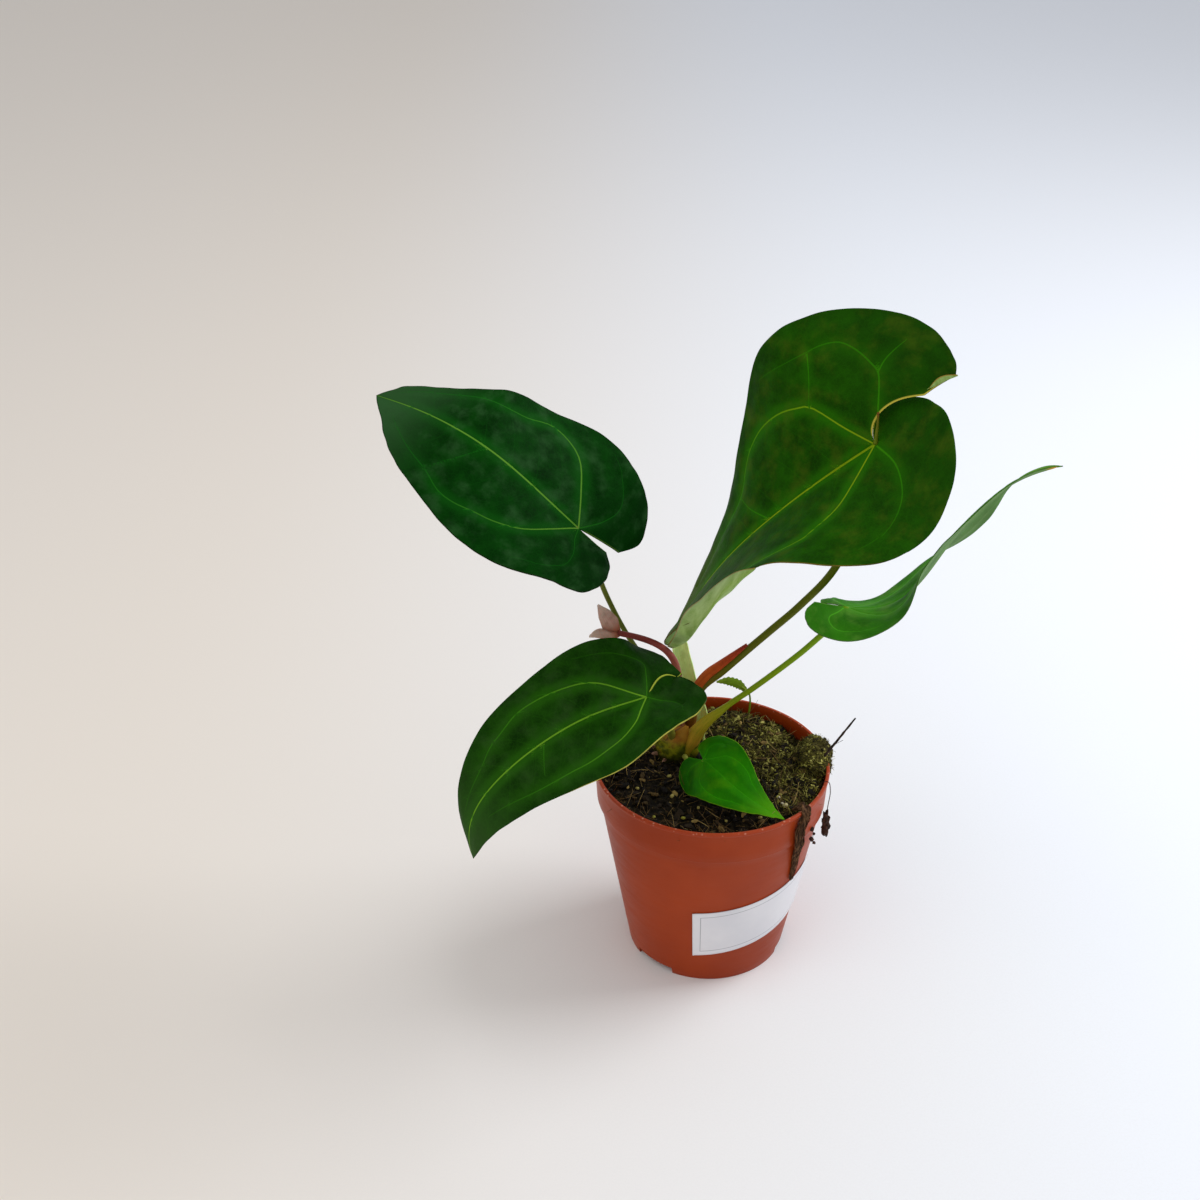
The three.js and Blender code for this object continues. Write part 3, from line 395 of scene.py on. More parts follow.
LEAVES = {
    "right_leaf": {
        "junction": (62.1, 1.2, 201.6), "length": 129.6, "width": 0.419,
        "heading": (-37, -3, 25, 12, -13), "pitch": (14, -11, 49, 42, 18), "roll": (-14, -27, -39, -19, 19),
        "left": {"lift": (-14, 11, 7, -37, 16), "curl": (-18, -16, -2, -41, -12),
                 "shear": 0.027, "lobe": -0.061, "back": 0.397,
                 "corners": [(-0.236, 0.007), (-0.249, 0.15), (-0.215, 0.21), (-0.127, 0.26)],
                 "widths": (0.366, 0.397, 0.335, 0.235, 0.124, 0.057)},
        "right": {"lift": (-23, -31, 15, 19, 68), "curl": (8, -5, -6, -9, -47),
                  "shear": 0.053, "lobe": 0.024, "back": 0.548,
                  "corners": [(-0.213, 0.048), (-0.243, 0.15), (-0.225, 0.245), (-0.165, 0.33)],
                  "widths": (0.384, 0.385, 0.37, 0.257, 0.176, 0.055)},
        "stalk": [(-13, 16, 106), (-10.7, 14.5, 112), (-7.2, 13.8, 118.7), (-2.2, 13.2, 126),
                  (4.2, 12.8, 132.3), (10.5, 12.5, 138.4), (19.3, 12, 146), (42, 7, 170.7), (55, 4, 187)],
        "radii": (5.4, 1.5),
    },
    "large_leaf": {
        "junction": (64.3, -27.3, 302), "length": 170, "width": 0.702,
        "heading": (152, 160, 160, 137, 139), "pitch": (-42, -42, -48, -59, -66),
        "roll": (-70, -62, -51, -56, -45),
        "left": {"lift": (29, 21, 35, 31, 35), "curl": (-25, 11, 26, 2, 16),
                 "shear": 0.219, "lobe": -0.027, "back": 1.067,
                 "gape": {"angle": -78, "reach": 1, "power": 0.6},
                 "corners": [(-0.135, -0.05), (-0.176, 0.03), (-0.194, 0.15), (-0.155, 0.275)],
                 "widths": (0.385, 0.388, 0.298, 0.271, 0.17, 0.1)},
        "right": {"lift": (-14, 20, -9, -22, -17), "curl": (5, -13, 12, 7, 8),
                  "shear": 0.09, "lobe": 0.012, "back": 1.022,
                  "gape": {"angle": 66, "reach": 0.65, "power": 1.25},
                  "corners": [(-0.28, 0.083), (-0.293, 0.135), (-0.265, 0.235), (-0.181, 0.325)],
                  "widths": (0.414, 0.422, 0.318, 0.21, 0.172, 0.073)},
        "stalk": [(-11, 23, 108), (-6.3, 21.5, 139.5), (5.5, 21, 151.9), (28.2, 20, 176),
                  (42.3, 19.5, 191.2), (57.8, 17, 214), (69, 8, 262)],
        "radii": (3.1, 1.9),
    },
    "low_leaf": {
        "junction": (-34.9, -36.6, 174.2), "length": 129.6, "width": 0.556,
        "heading": (221, 201, 202, 203, 209), "pitch": (-66, -8, -23, -49, -106),
        "roll": (10, -2, -31, -30, 0),
        "left": {"lift": (11, 12, 11, -3, -4), "curl": (-27, -5, -11, -18, -14),
                 "shear": 0.205, "lobe": 0.032, "back": 0.636,
                 "gape": {"angle": -27, "reach": 0.95, "power": 0.55},
                 "corners": [(-0.23, 0.015), (-0.255, 0.17), (-0.245, 0.31), (-0.14, 0.362)],
                 "widths": (0.368, 0.397, 0.324, 0.249, 0.182, 0.101)},
        "right": {"lift": (-31, 23, 14, 15, -21), "curl": (-5, 15, 4, -29, -5),
                  "shear": 0.009, "lobe": -0.005, "back": 0.699,
                  "corners": [(-0.23, 0.015), (-0.235, 0.15), (-0.235, 0.265), (-0.185, 0.355)],
                  "widths": (0.349, 0.363, 0.305, 0.248, 0.139, 0.062)},
        "stalk": [(-18, 17, 108), (-21, 10, 122), (-25, -3, 138), (-30, -18, 152)],
        "radii": (2.6, 1.7),
    },
    "young_leaf": {
        "junction": (-5, -9.5, 118), "length": 55, "width": 0.67,
        "heading": (-65, -62, -50, -34, -26), "pitch": (19, 10, -12, -16, -15),
        "roll": (31, 28, 18, 5, -4),
        "left": {"lift": (-8, -8, -1, 1, 4), "curl": (-8, -2, 2, 4, 9), "shear": 0, "lobe": 0, "back": 1,
                 "corners": PLAIN_CORNERS, "widths": PLAIN_WIDTHS},
        "right": {"lift": (-15, -13, 0, 4, 9), "curl": (-15, -18, -10, -8, 0),
                  "shear": 0.1, "lobe": 0, "back": 1,
                  "corners": PLAIN_CORNERS, "widths": PLAIN_WIDTHS},
        "stalk": [(-14, 14, 105), (-12, 4, 108), (-8, -5, 112)],
        "radii": (1.7, 1.1),
    },
    "left_leaf": {
        "junction": (-67.1, -2.2, 246.3), "length": 131.6, "width": 0.762,
        "heading": (168, 165, 171, 135, 139), "pitch": (27, 41, 40, 0, -4),
        "roll": (-13, -15, -31, -25, -46),
        "left": {"lift": (17, 18, -9, -12, 23), "curl": (20, -10, 9, 12, 16),
                 "shear": 0.143, "lobe": -0.007, "back": 0.506,
                 "corners": [(-0.262, 0.006), (-0.331, 0.109), (-0.323, 0.25), (-0.221, 0.37)],
                 "widths": (0.369, 0.381, 0.347, 0.27, 0.185, 0.084)},
        "right": {"lift": (11, 9, -5, -9, 7), "curl": (8, 10, -17, 3, 17),
                  "shear": 0.12, "lobe": -0.019, "back": 0.697,
                  "corners": [(-0.246, 0.047), (-0.324, 0.15), (-0.285, 0.25), (-0.19, 0.31)],
                  "widths": (0.352, 0.39, 0.337, 0.254, 0.138, 0.058)},
        "stalk": [(-16, 27, 108), (-23.6, 23, 133), (-31.7, 19, 154), (-44.6, 14, 179.7),
                  (-54, 10, 203), (-64, 9, 232)],
        "radii": (2.4, 1.3),
    },
}


def at_stations(values, x):
    """Values at the five stations of a leaf, joined smoothly, at x."""
    return eased(values, np.interp(x, STATIONS, np.arange(5)) / 4)


def midrib(leaf):
    """The midrib's steps, with its points, its sideways directions and its upward ones."""
    x = np.linspace(STATIONS[0], 1, MIDRIB_STEPS + 1)
    heading, pitch, roll = (np.radians(at_stations(leaf[key], x)) for key in ("heading", "pitch", "roll"))
    forward = np.stack([np.cos(pitch) * np.cos(heading), np.cos(pitch) * np.sin(heading), np.sin(pitch)], -1)
    level = np.stack([-np.sin(heading), np.cos(heading), 0 * heading], -1)
    above = np.cross(forward, level)
    cos, sin = np.cos(roll)[:, None], np.sin(roll)[:, None]
    steps = (forward[1:] + forward[:-1]) / 2 * np.diff(x)[:, None] * leaf["length"]
    points = np.vstack([np.zeros(3), np.cumsum(steps, axis=0)])
    origin = np.array([np.interp(0, x, points[:, k]) for k in range(3)])
    return x, points - origin + leaf["junction"], cos * level + sin * above, cos * above - sin * level


def half_edge(leaf, side, around):
    """The flat edge of the left half (side 1) or the right one (-1), from its notch corner to the tip."""
    half = leaf["left" if side > 0 else "right"]
    points = np.array([*half["corners"], *zip(WIDTH_PLACES, half["widths"]), (1, 0)], float)
    return eased(points * [1, leaf["width"] / OUTLINE_WIDTH], around)


def bearing(point):
    """The angle between the tip and a flat point, as the stalk sees it."""
    return math.pi - np.arctan2(point[..., 1], -point[..., 0])


def ring_points(leaf, side, around, v):
    """Flat points a share v of the way out to the edge, and how wide the notch opens beside each."""
    edge = half_edge(leaf, side, around)
    corner = bearing(half_edge(leaf, side, np.zeros(1)))[0]
    gape = leaf["left" if side > 0 else "right"].get("gape", STRAIGHT_NOTCH)
    closeness = (1 - np.minimum(1, v / gape["reach"])) ** gape["power"]
    full_turn = math.radians(gape["angle"]) * closeness
    turn = full_turn * bearing(edge) / corner
    cos, sin = np.cos(turn), np.sin(turn)
    x = v * (edge[:, 0] * cos + edge[:, 1] * sin)
    width = v * (edge[:, 1] * cos - edge[:, 0] * sin)
    opening = (corner - bearing(edge)) * (1 - full_turn / corner)
    return x, width, opening, np.hypot(edge[:, 0], edge[:, 1])


def blade_points(leaf, x, width, left, height=0.0):
    """Where places x along and width across a half of the leaf lie in space, raised by a height in mm."""
    half = {key: np.where(left, leaf["left"][key], leaf["right"][key]) for key in ("back", "shear", "lobe")}
    x = np.clip(np.where(x < 0, x * half["back"], x), STATIONS[0], 1)
    steps, points, sideways, upwards = midrib(leaf)
    middle, side, up = (
        np.stack([np.interp(x, steps, rows[:, k]) for k in range(3)], -1)
        for rows in (points, sideways, upwards)
    )
    lift, curl = (
        np.radians(np.where(left, at_stations(leaf["left"][key], x), at_stations(leaf["right"][key], x)))
        for key in ("lift", "curl")
    )
    behind = np.maximum(-x, 0)
    lobe = (behind / LOBE_LENGTH) ** 2
    out = width - half["shear"] * behind * lobe
    bend = out / (leaf["width"] / 2) * curl
    safe = np.where(np.abs(bend) < LEAST_CURL, LEAST_CURL, bend)
    across = out * leaf["length"] * np.sin(safe) / safe
    rise = out * leaf["length"] * (1 - np.cos(safe)) / safe
    wide = across * np.cos(lift) - rise * np.sin(lift) - height * np.sin(lift + bend)
    tall = across * np.sin(lift) + rise * np.cos(lift) + half["lobe"] * lobe * leaf["length"]
    tall = tall + height * np.cos(lift + bend)
    return middle + (np.where(left, 1, -1) * wide)[:, None] * side + tall[:, None] * up


print("leaves:", ", ".join(LEAVES))

# %% [markdown]
# ## The veins
# Veins are drawn on the flat leaf, as a list of points each, in leaf lengths. The main ones
# differ from leaf to leaf, as on the real plant. Thin cross veins, which hardly show, are the same
# everywhere. Each kind of vein has a half width in mm and a strength, at its foot and at its end.

# %% Drawn veins
MIDRIB_VEIN = (0.5, 0.22, 1, 0.7, [(0, 0), (0.5, 0), (1, 0)])
STRONG = (0.38, 0.2, 0.8, 0.14)
LOOPED = (0.42, 0.2, 0.42, 0.1)
BRANCH = (0.3, 0.18, 0.36, 0.2)
CROSS = (0.3, 0.2, 0.05, 0.02)

DRAWN_VEINS = {
    "left_leaf": [
        (*STRONG, [(0, 0), (.071, -.122), (.148, -.237), (.22, -.278), (.281, -.285), (.376, -.229),
                   (.441, -.209), (.6, -.175), (.75, -.105), (.9, -.035)]),
        (*STRONG, [(0, 0), (.076, .104), (.168, .186), (.27, .22), (.342, .228), (.417, .239),
                   (.489, .231), (.568, .19), (.7, .14), (.84, .07)]),
        (*LOOPED, [(0, 0), (-.089, -.102), (-.119, -.176), (-.096, -.224), (-.018, -.286), (.06, -.34)]),
        (*LOOPED, [(0, 0), (-.011, .069), (-.055, .166), (-.048, .244), (.001, .281), (.043, .308),
                   (.15, .33)]),
        (*BRANCH, [(.435, .005), (.509, .095), (.576, .172)]),
    ],
    "large_leaf": [
        (*STRONG, [(0, 0), (.043, -.081), (.102, -.195), (.131, -.211), (.199, -.24), (.296, -.256),
                   (.364, -.241), (.406, -.213), (.469, -.155), (.63, -.12), (.8, -.06)]),
        (*STRONG, [(0, 0), (.046, .039), (.097, .088), (.136, .131), (.163, .155), (.212, .192),
                   (.242, .222), (.34, .25), (.46, .23), (.62, .17), (.8, .09)]),
        (*LOOPED, [(0, 0), (-.059, -.08), (-.106, -.17), (-.103, -.195), (-.086, -.256), (-.06, -.3),
                   (-.013, -.322), (.023, -.327), (.1, -.34), (.2, -.36)]),
        (*LOOPED, [(0, 0), (-.037, .087), (-.043, .149), (-.033, .211), (-.001, .269), (.045, .312),
                   (.095, .34)]),
        (*BRANCH, [(.385, -.01), (.44, -.09), (.469, -.155)]),
        (*BRANCH, [(.023, -.327), (.055, -.265), (.1, -.197)]),
        (*BRANCH, [(-.106, -.17), (-.133, -.192), (-.197, -.222)]),
    ],
    "low_leaf": [
        (*STRONG, [(0, 0), (.083, -.083), (.136, -.132), (.186, -.163), (.269, -.184), (.36, -.196),
                   (.438, -.194), (.516, -.164), (.576, -.143), (.646, -.1), (.8, -.05)]),
        (*STRONG, [(0, 0), (.05, .101), (.09, .177), (.154, .231), (.228, .242), (.307, .239),
                   (.38, .223), (.55, .18), (.75, .09)]),
        (*LOOPED, [(0, 0), (-.056, -.118), (-.087, -.198), (.003, -.246), (.08, -.281), (.2, -.3)]),
        (*LOOPED, [(0, 0), (-.045, .087), (-.091, .163), (-.11, .239), (-.094, .293)]),
        (*BRANCH, [(.42, .012), (.481, .145)]),
    ],
}
PLAIN_VEINS = [
    (*STRONG, [(0, 0), (.08, .1), (.15, .2), (.25, .23), (.32, .24), (.45, .22), (.54, .17), (.8, .07)]),
    (*LOOPED, [(0, 0), (-.05, .08), (-.1, .15), (-.1, .2), (-.06, .27), (.02, .29), (.1, .31)]),
]
CROSS_STARTS = [.12, .22, .33, .45, .57, .69, .8]
CROSS_REACH = .33
VEIN_STEPS = 36
FULL_LENGTH = 110
HAZE_WIDTH = 4.5
CREASE_WIDTH = 1.1
LEAST_CREASED = 0.11
LEAST_MAIN = 0.15
FAR_OFF = 1e9


def fineness(leaf):
    """How fine a leaf's relief is: 1 on a full-grown one, less on a young one."""
    return min(1, leaf["length"] / FULL_LENGTH)


def veins_of(name, leaf):
    """Every vein of a leaf: half widths in mm, strengths and points, from its foot to its end."""
    scale = leaf["width"] / OUTLINE_WIDTH
    drawn = DRAWN_VEINS.get(name)
    if drawn is None:
        drawn = [
            (*look, [(x, y * side) for x, y in points]) for *look, points in PLAIN_VEINS for side in (1, -1)
        ]
    veins = [MIDRIB_VEIN]
    veins += [(*look, [(x, y * scale) for x, y in points]) for *look, points in drawn]
    for start in CROSS_STARTS:
        reach = CROSS_REACH * scale * (1 - start) ** 0.7
        for side in (1, -1):
            bent = [(start, 0), (start + 0.05, side * 0.45 * reach), (start + 0.16, side * reach)]
            veins.append((*CROSS, bent))
    return veins


def vein_marks(name, leaf, x, y):
    """The veins' numbers for flat places, then the crease's depth and the mm to the nearest main vein."""
    here = np.stack([x, y], -1)
    signed, strength, haze, crease = np.zeros((4, len(x)))
    nearest, main_mm = np.full((2, len(x)), FAR_OFF)
    for wide, narrow, strong, weak, points in veins_of(name, leaf):
        line = curve_through(points, VEIN_STEPS)
        best = np.full(len(x), FAR_OFF)
        at, side = np.zeros((2, len(x)))
        for start, step, share in zip(line, np.diff(line, axis=0), np.linspace(0, 1, VEIN_STEPS)):
            offset = here - start
            t = np.clip(offset @ step / (step @ step), 0, 1)
            gap = offset - t[:, None] * step
            far = np.hypot(gap[:, 0], gap[:, 1]) * leaf["length"]
            closer = far < best
            best = np.where(closer, far, best)
            at = np.where(closer, share + t / VEIN_STEPS, at)
            side = np.where(closer, np.sign(step[0] * offset[:, 1] - step[1] * offset[:, 0]), side)
        half_width = (wide + (narrow - wide) * at) * fineness(leaf)
        here_strength = strong + (weak - strong) * at
        ratio = best / half_width
        closer = ratio < nearest
        nearest = np.where(closer, ratio, nearest)
        signed = np.where(closer, ratio * side, signed)
        strength = np.where(closer, here_strength, strength)
        haze = np.maximum(haze, np.minimum(1, 1.8 * here_strength) * np.exp(-(best / HAZE_WIDTH) ** 2))
        creased = (here_strength > LEAST_CREASED) * here_strength
        crease = np.maximum(crease, creased * np.exp(-(best / CREASE_WIDTH) ** 2))
        off_main = np.minimum(main_mm, best / here_strength**0.5)
        main_mm = np.where(here_strength > LEAST_MAIN, off_main, main_mm)
    marks = {"vein_side": signed, "vein_near": nearest, "vein_strength": strength, "haze": haze}
    return marks, crease, main_mm


print("veins drawn for", ", ".join(DRAWN_VEINS))

# %% [markdown]
# ## Laying the blades
# The grid's rows fan out from the stalk to the edge, so they crowd where the veins meet, and its columns
# go once round the heart. A Solidify modifier gives the half millimetre of thickness, and its material
# offsets put the pale underside and the thin edge on their own faces.

# %% Blade grids
BLADE_THICKNESS = 0.5
CREASE_DEPTH = 0.28
VALLEY_WIDTH = 8
FLAT_EDGE = 9
RIPPLE = {"height": 0.16, "size": 9, "off_veins": 6}
WAVE = {"size": 15, "shift": 7.3, "band": 12}
JUNCTION = {"clear": 1.5, "reach": 3.5}
LAP_CLIMB = 1.1

# Each blade's columns and rows; in mm, how much it swells between veins, how much its edge waves and how
# far its left lobe is raised where it laps over the right one; and the share by which its outline wanders.
RELIEFS = {
    "large_leaf": {"grid": (300, 84), "swell": 0.7, "wave": 0.4, "lap": 0, "wander": 0.011},
    "left_leaf": {"grid": (270, 76), "swell": 0.6, "wave": 0.4, "lap": 0, "wander": 0.016},
    "low_leaf": {"grid": (270, 76), "swell": 0.9, "wave": 0.5, "lap": 4.5, "wander": 0.011},
    "right_leaf": {"grid": (230, 60), "swell": 0.5, "wave": 0.9, "lap": 0, "wander": 0.02},
    "young_leaf": {"grid": (160, 44), "swell": 0.3, "wave": 0.3, "lap": 0, "wander": 0.034},
}


def outline_noise(around, left):
    """Noise along the edge, none at the tip and the notch, and different on the two halves."""
    places = np.stack([around, np.where(left, 0, 5.0), 0 * around], -1)
    calm = smooth_step(around, 0.03, 0.15) * smooth_step(1 - around, 0, 0.08)
    return calm * (rough(places, 0.085) + 0.5 * rough(places, 0.035, 3))


def blade_form(name, leaf):
    """The blade as a grid, with marks that tell its finishes where the veins, the rim and the notch are."""
    relief = RELIEFS[name]
    size, small = leaf["length"], fineness(leaf)

    def rule(u, v):
        left = u < 0.5
        around = 2 * np.minimum(u, 1 - u)
        x, width, opening, reach = (
            np.where(left, of_left, of_right)
            for of_left, of_right in zip(ring_points(leaf, 1, around, v), ring_points(leaf, -1, around, v))
        )
        uneven = 1 + relief["wander"] * outline_noise(around, left) * v**3
        x, width = x * uneven, width * uneven
        y = np.where(left, 1, -1) * np.maximum(width, 0)
        marks, crease, far = vein_marks(name, leaf, x, y)
        rim = (1 - v) * reach * size
        from_stalk = v * reach * size
        notch = from_stalk * np.sin(np.minimum(opening, math.pi / 2))
        notch = notch + JUNCTION["clear"] * np.exp(-(from_stalk / JUNCTION["reach"]) ** 2)
        flat = np.stack([x * size, np.where(left, 1, -1) * width * size, 0 * x], -1)
        off_edges = smooth_step(np.minimum(rim, notch), 0, FLAT_EDGE * small)
        height = relief["swell"] * (1 - np.exp(-(far / (VALLEY_WIDTH * small)) ** 2)) * off_edges
        height += RIPPLE["height"] * rough(flat, RIPPLE["size"]) * smooth_step(far, 0, RIPPLE["off_veins"])
        near_rim = 1 - smooth_step(rim, 0, WAVE["band"] * small)
        wave = relief["wave"] * rough(flat, WAVE["size"], WAVE["shift"])
        height += wave * near_rim * smooth_step(v, 0.2, 0.6)
        height -= CREASE_DEPTH * crease * small
        height += left * np.minimum(relief["lap"], LAP_CLIMB * np.maximum(-width * size, 0))
        marks |= {"rim": rim, "notch": notch, "along": x, "flat_x": x * size, "flat_y": flat[:, 1],
                  "half": np.where(left, 1.0, -1.0)}
        return blade_points(leaf, x, width, left, height), marks

    return laid(*relief["grid"], rule)


print("blade grids:", {name: relief["grid"] for name, relief in RELIEFS.items()})

# %% [markdown]
# ## How a leaf looks
# The upper face is a deep green, lighter in a haze along the veins, with a painted sheen in soft patches and
# towards the tip and painted shade on the lobes.
# The vein itself is a thin yellow-green line. The surface is satin: broad soft highlights and no sharp
# ones, with a net of very fine cells that shows only where light grazes it. The underside is paler and
# duller, with the veins standing out. Young leaves are a brighter green.


# %% Leaf finishes
BURNT_END = colour(90, 40, 25)
PLAIN_EDGE = colour(30, 56, 16)


def vein_line(mix, width=1.0):
    """1 on a vein and 0 off it. The unsigned number keeps the line away from where the sides change."""
    on_line = mix.fade(mix.sum("ABSOLUTE", mix.mark("vein_side")), 1.5 * width, 0.5 * width)
    near = mix.fade(mix.mark("vein_near"), 7, 4)
    return mix.times(mix.times(on_line, near), mix.mark("vein_strength"))


def blade_top(name, cell, haze, vein, edge, lip, painted_sheen, edge_width=0.6, shine=0.03, edge_span=None):
    """The upper face, with a painted sheen in patches and towards the tip, painted shade on the lobes, an
    edge line, and a lip along the notch.
    """
    mix = Finish(name + "_top")
    flat = mix.marked_place("flat_x", "flat_y")
    along = mix.mark("along")
    tone = mix.blend(mix.fade(mix.noise(flat, 0.045), 0.3, 0.7), cell, mix_down(cell, 0.62))
    tone = mix.over(tone, haze, mix.noise(flat, 0.12, 4), 0.35, 0.8, 0.4)
    tone = mix.over(tone, haze, mix.mark("haze"), 0.05, 0.9, 0.75)
    net = mix.fade(mix.cells(flat, 0.55, "DISTANCE_TO_EDGE"), 0.0, 0.12, 0.16, 0)
    tone = mix.blend(net, tone, haze)
    # Painted shade: the lobes, behind the stalk, are painted darker.
    tone = mix.over(tone, mix_down(cell, 0.6), along, 0.05, -0.2, 0.4)
    # Painted sheen: soft paler patches, and more of it towards the tip.
    patches = mix.fade(mix.noise(flat, 0.075, 4, 0.6), 0.45, 0.75, 0, 0.45)
    sheen_towards_tip = mix.fade(along, 0.55, 0.95, 0, 0.8)
    tone = mix.blend(mix.sum("MAXIMUM", patches, sheen_towards_tip), tone, painted_sheen)
    vein_tone = mix.blend(mix.fade(mix.mark("vein_strength"), 0.3, 0.85), mix_down(haze, 1.9), vein)
    tone = mix.blend(mix.sum("MINIMUM", mix.times(vein_line(mix), 1.5), 1.0), tone, vein_tone)
    on_edge = mix.fade(mix.mark("rim"), edge_width, 0.3 * edge_width)
    if edge_span:
        on_edge = mix.times(on_edge, left_span(mix, edge_span))
    tone = mix.blend(on_edge, tone, edge)
    tone = mix.over(tone, lip, mix.mark("notch"), 0.8, 0.35)
    bumps = mix.sum("SUBTRACT", mix.cells(flat, 0.9), mix.times(vein_line(mix, 1.6), 1.5))
    normal = mix.bump(bumps, 0.12, 0.35, mix.bump(mix.noise(flat, 0.25, 2), 1.0, 0.25))
    satin = mix.fade(mix.noise(flat, 0.3), 0.3, 0.7, 0.5, 0.62)
    return mix.done(tone, satin, normal, shine=shine)


def blade_back(name, pale, vein, burnt=None):
    """The underside, with a burnt tip if asked."""
    mix = Finish(name + "_back")
    flat = mix.marked_place("flat_x", "flat_y")
    tone = mix.blend(mix.fade(mix.noise(flat, 0.08, 4), 0.3, 0.75), pale, mix_down(pale, 0.72))
    tone = mix.over(tone, vein, mix.mark("haze"), 0.1, 1, 0.35)
    tone = mix.blend(vein_line(mix), tone, vein)
    if burnt:
        tone = mix.over(tone, burnt, mix.mark("along"), 0.93, 0.975)
        tone = mix.over(tone, BURNT_END, mix.mark("along"), 0.975, 0.99)
    normal = mix.bump(mix.sum("ADD", mix.cells(flat, 0.9), vein_line(mix, 1.6)), 0.15, 0.4)
    return mix.done(tone, 0.6, normal, shine=0.06)


def left_span(mix, span):
    """1 on the left half where every fade of the span, from its start to full, lets it be, else 0."""
    on_left = mix.fade(mix.mark("half"), -0.5, 0.5)
    for start, full in span:
        on_left = mix.times(on_left, mix.fade(mix.mark("along"), start, full))
    return on_left


def blade_edge(name, tone, other, edge_span=None):
    """The thin edge, which is plain outside the span if there is one."""
    mix = Finish(name + "_edge")
    spots = mix.fade(mix.noise(mix.marked_place("flat_x", "flat_y"), 0.2), 0.35, 0.65)
    mixed = mix.blend(spots, tone, other)
    if edge_span:
        mixed = mix.blend(left_span(mix, edge_span), PLAIN_EDGE, mixed)
    return mix.done(mixed, 0.6)


def mix_down(tone, share):
    """A darker tone of the same hue, or a lighter one with a share above 1."""
    return (*(value * share for value in tone[:3]), 1)


TONES = ("cell", "haze", "vein", "edge", "lip", "painted_sheen")
# Each leaf's tones are in the order of TONES; the last is the colour of its painted sheen.
BLADE_TONES = {
    "left_leaf": [(6, 50, 6), (14, 76, 12), (92, 142, 44), (24, 46, 14), (70, 100, 34), (52, 92, 50)],
    "large_leaf": [(26, 74, 1), (40, 108, 4), (132, 160, 18), (120, 104, 36), (196, 184, 70), (76, 98, 18)],
    "low_leaf": [(18, 58, 3), (38, 92, 10), (106, 156, 36), (196, 192, 84), (176, 186, 66), (50, 82, 34)],
    "right_leaf": [(50, 124, 14), (70, 148, 28), (84, 152, 42), (74, 124, 40), (84, 134, 46), (112, 160, 62)],
    "young_leaf": [(30, 110, 1), (42, 128, 4), (54, 140, 10), (110, 168, 22), (60, 130, 20), (84, 150, 10)],
}
BLADE_HABITS = {
    "left_leaf": {"shine": 0.015},
    "large_leaf": {"edge_span": [(0.0, 0.15)]},
    "low_leaf": {"edge_span": [(0.5, 0.34), (-0.24, -0.12)], "edge_width": 0.4},
    "right_leaf": {},
    "young_leaf": {"edge_width": 0.4},
}
BACK_TONES = {
    "left_leaf": [(100, 134, 82), (134, 156, 96)],
    "large_leaf": [(110, 140, 70), (140, 160, 90)],
    "low_leaf": [(112, 140, 80), (150, 166, 100)],
    "right_leaf": [(98, 140, 74), (132, 164, 100), (214, 160, 44)],
    "young_leaf": [(100, 160, 66), (130, 180, 90)],
}
print("tones of an upper face:", ", ".join(TONES))

# %% Lay and finish the five blades
for name, leaf in LEAVES.items():
    tones = {key: colour(*tone) for key, tone in zip(TONES, BLADE_TONES[name])}
    habits = BLADE_HABITS[name]
    finishes = [
        blade_top(name, **tones, **habits),
        blade_back(name, *(colour(*tone) for tone in BACK_TONES[name])),
        blade_edge(name, tones["edge"], mix_down(tones["edge"], 0.6), habits.get("edge_span")),
    ]
    piece(name, blade_form(name, leaf), finishes, [name + "_blade"], BLADE_THICKNESS)

# %% [markdown]
# ## The stalks
# Each leaf hangs on a stalk that is wide where it leaves the plant, narrows quickly, and turns up to
# meet the blade in a slight swollen knee. A stalk isn't a plain rod: its upper side has a shallow groove.
# It's a grid rolled round its route, and the groove is a dip in the radius. A number along the stalk
# lets the colour change from the orange or pale foot to the green above.

# %% Tubes along a route
STALK_FOOT = 0.3
KNEE = {"at": 0.96, "half_length": 0.06, "swell": 0.25, "bend": 4}
GROOVE = {"at": 1.3, "half_width": 0.4}
SEAM = 0.999
FRONT = (0, -1, 0)


def along_route(route, count, out):
    """count points along a smooth route, with unit directions across it and out of it at each."""
    line = curve_through(route, count)
    tangent = np.gradient(line, axis=0)
    tangent /= np.linalg.norm(tangent, axis=1)[:, None]
    across = np.cross(tangent, out)
    across /= np.linalg.norm(across, axis=1)[:, None]
    return line, across, np.cross(across, tangent)


def tube(route, radius_at, sides=20, steps=90, groove=0.0, wobble=0.0):
    """A closed tube round a route, whose radius radius_at gives from a share of its length."""
    line, across, front = along_route(route, steps + 1, FRONT)

    def rule(u, v):
        row = np.rint(v * steps).astype(int)
        angle = 2 * math.pi * u
        from_groove = np.mod(angle - GROOVE["at"], 2 * math.pi) - math.pi
        radius = radius_at(v) * (1 - groove * np.exp(-(from_groove / GROOVE["half_width"]) ** 2))
        ring = np.cos(angle)[:, None] * across[row] + np.sin(angle)[:, None] * front[row]
        points = line[row] + radius[:, None] * ring
        if wobble:
            points = points + (wobble * rough(points, 2.5))[:, None] * ring
        return points, {"along": v, "around": np.where(u > SEAM, 0, u)}

    return closed(laid(sides, steps, rule, merge=0.004))


def stalk_route(leaf):
    """The route up to the blade, which it meets from below."""
    x, points, _, upwards = midrib(leaf)
    up = np.array([np.interp(0, x, upwards[:, k]) for k in range(3)])
    junction = np.array(leaf["junction"], float)
    return [*leaf["stalk"], tuple(junction - up * KNEE["bend"] * leaf["radii"][1]), tuple(junction)]


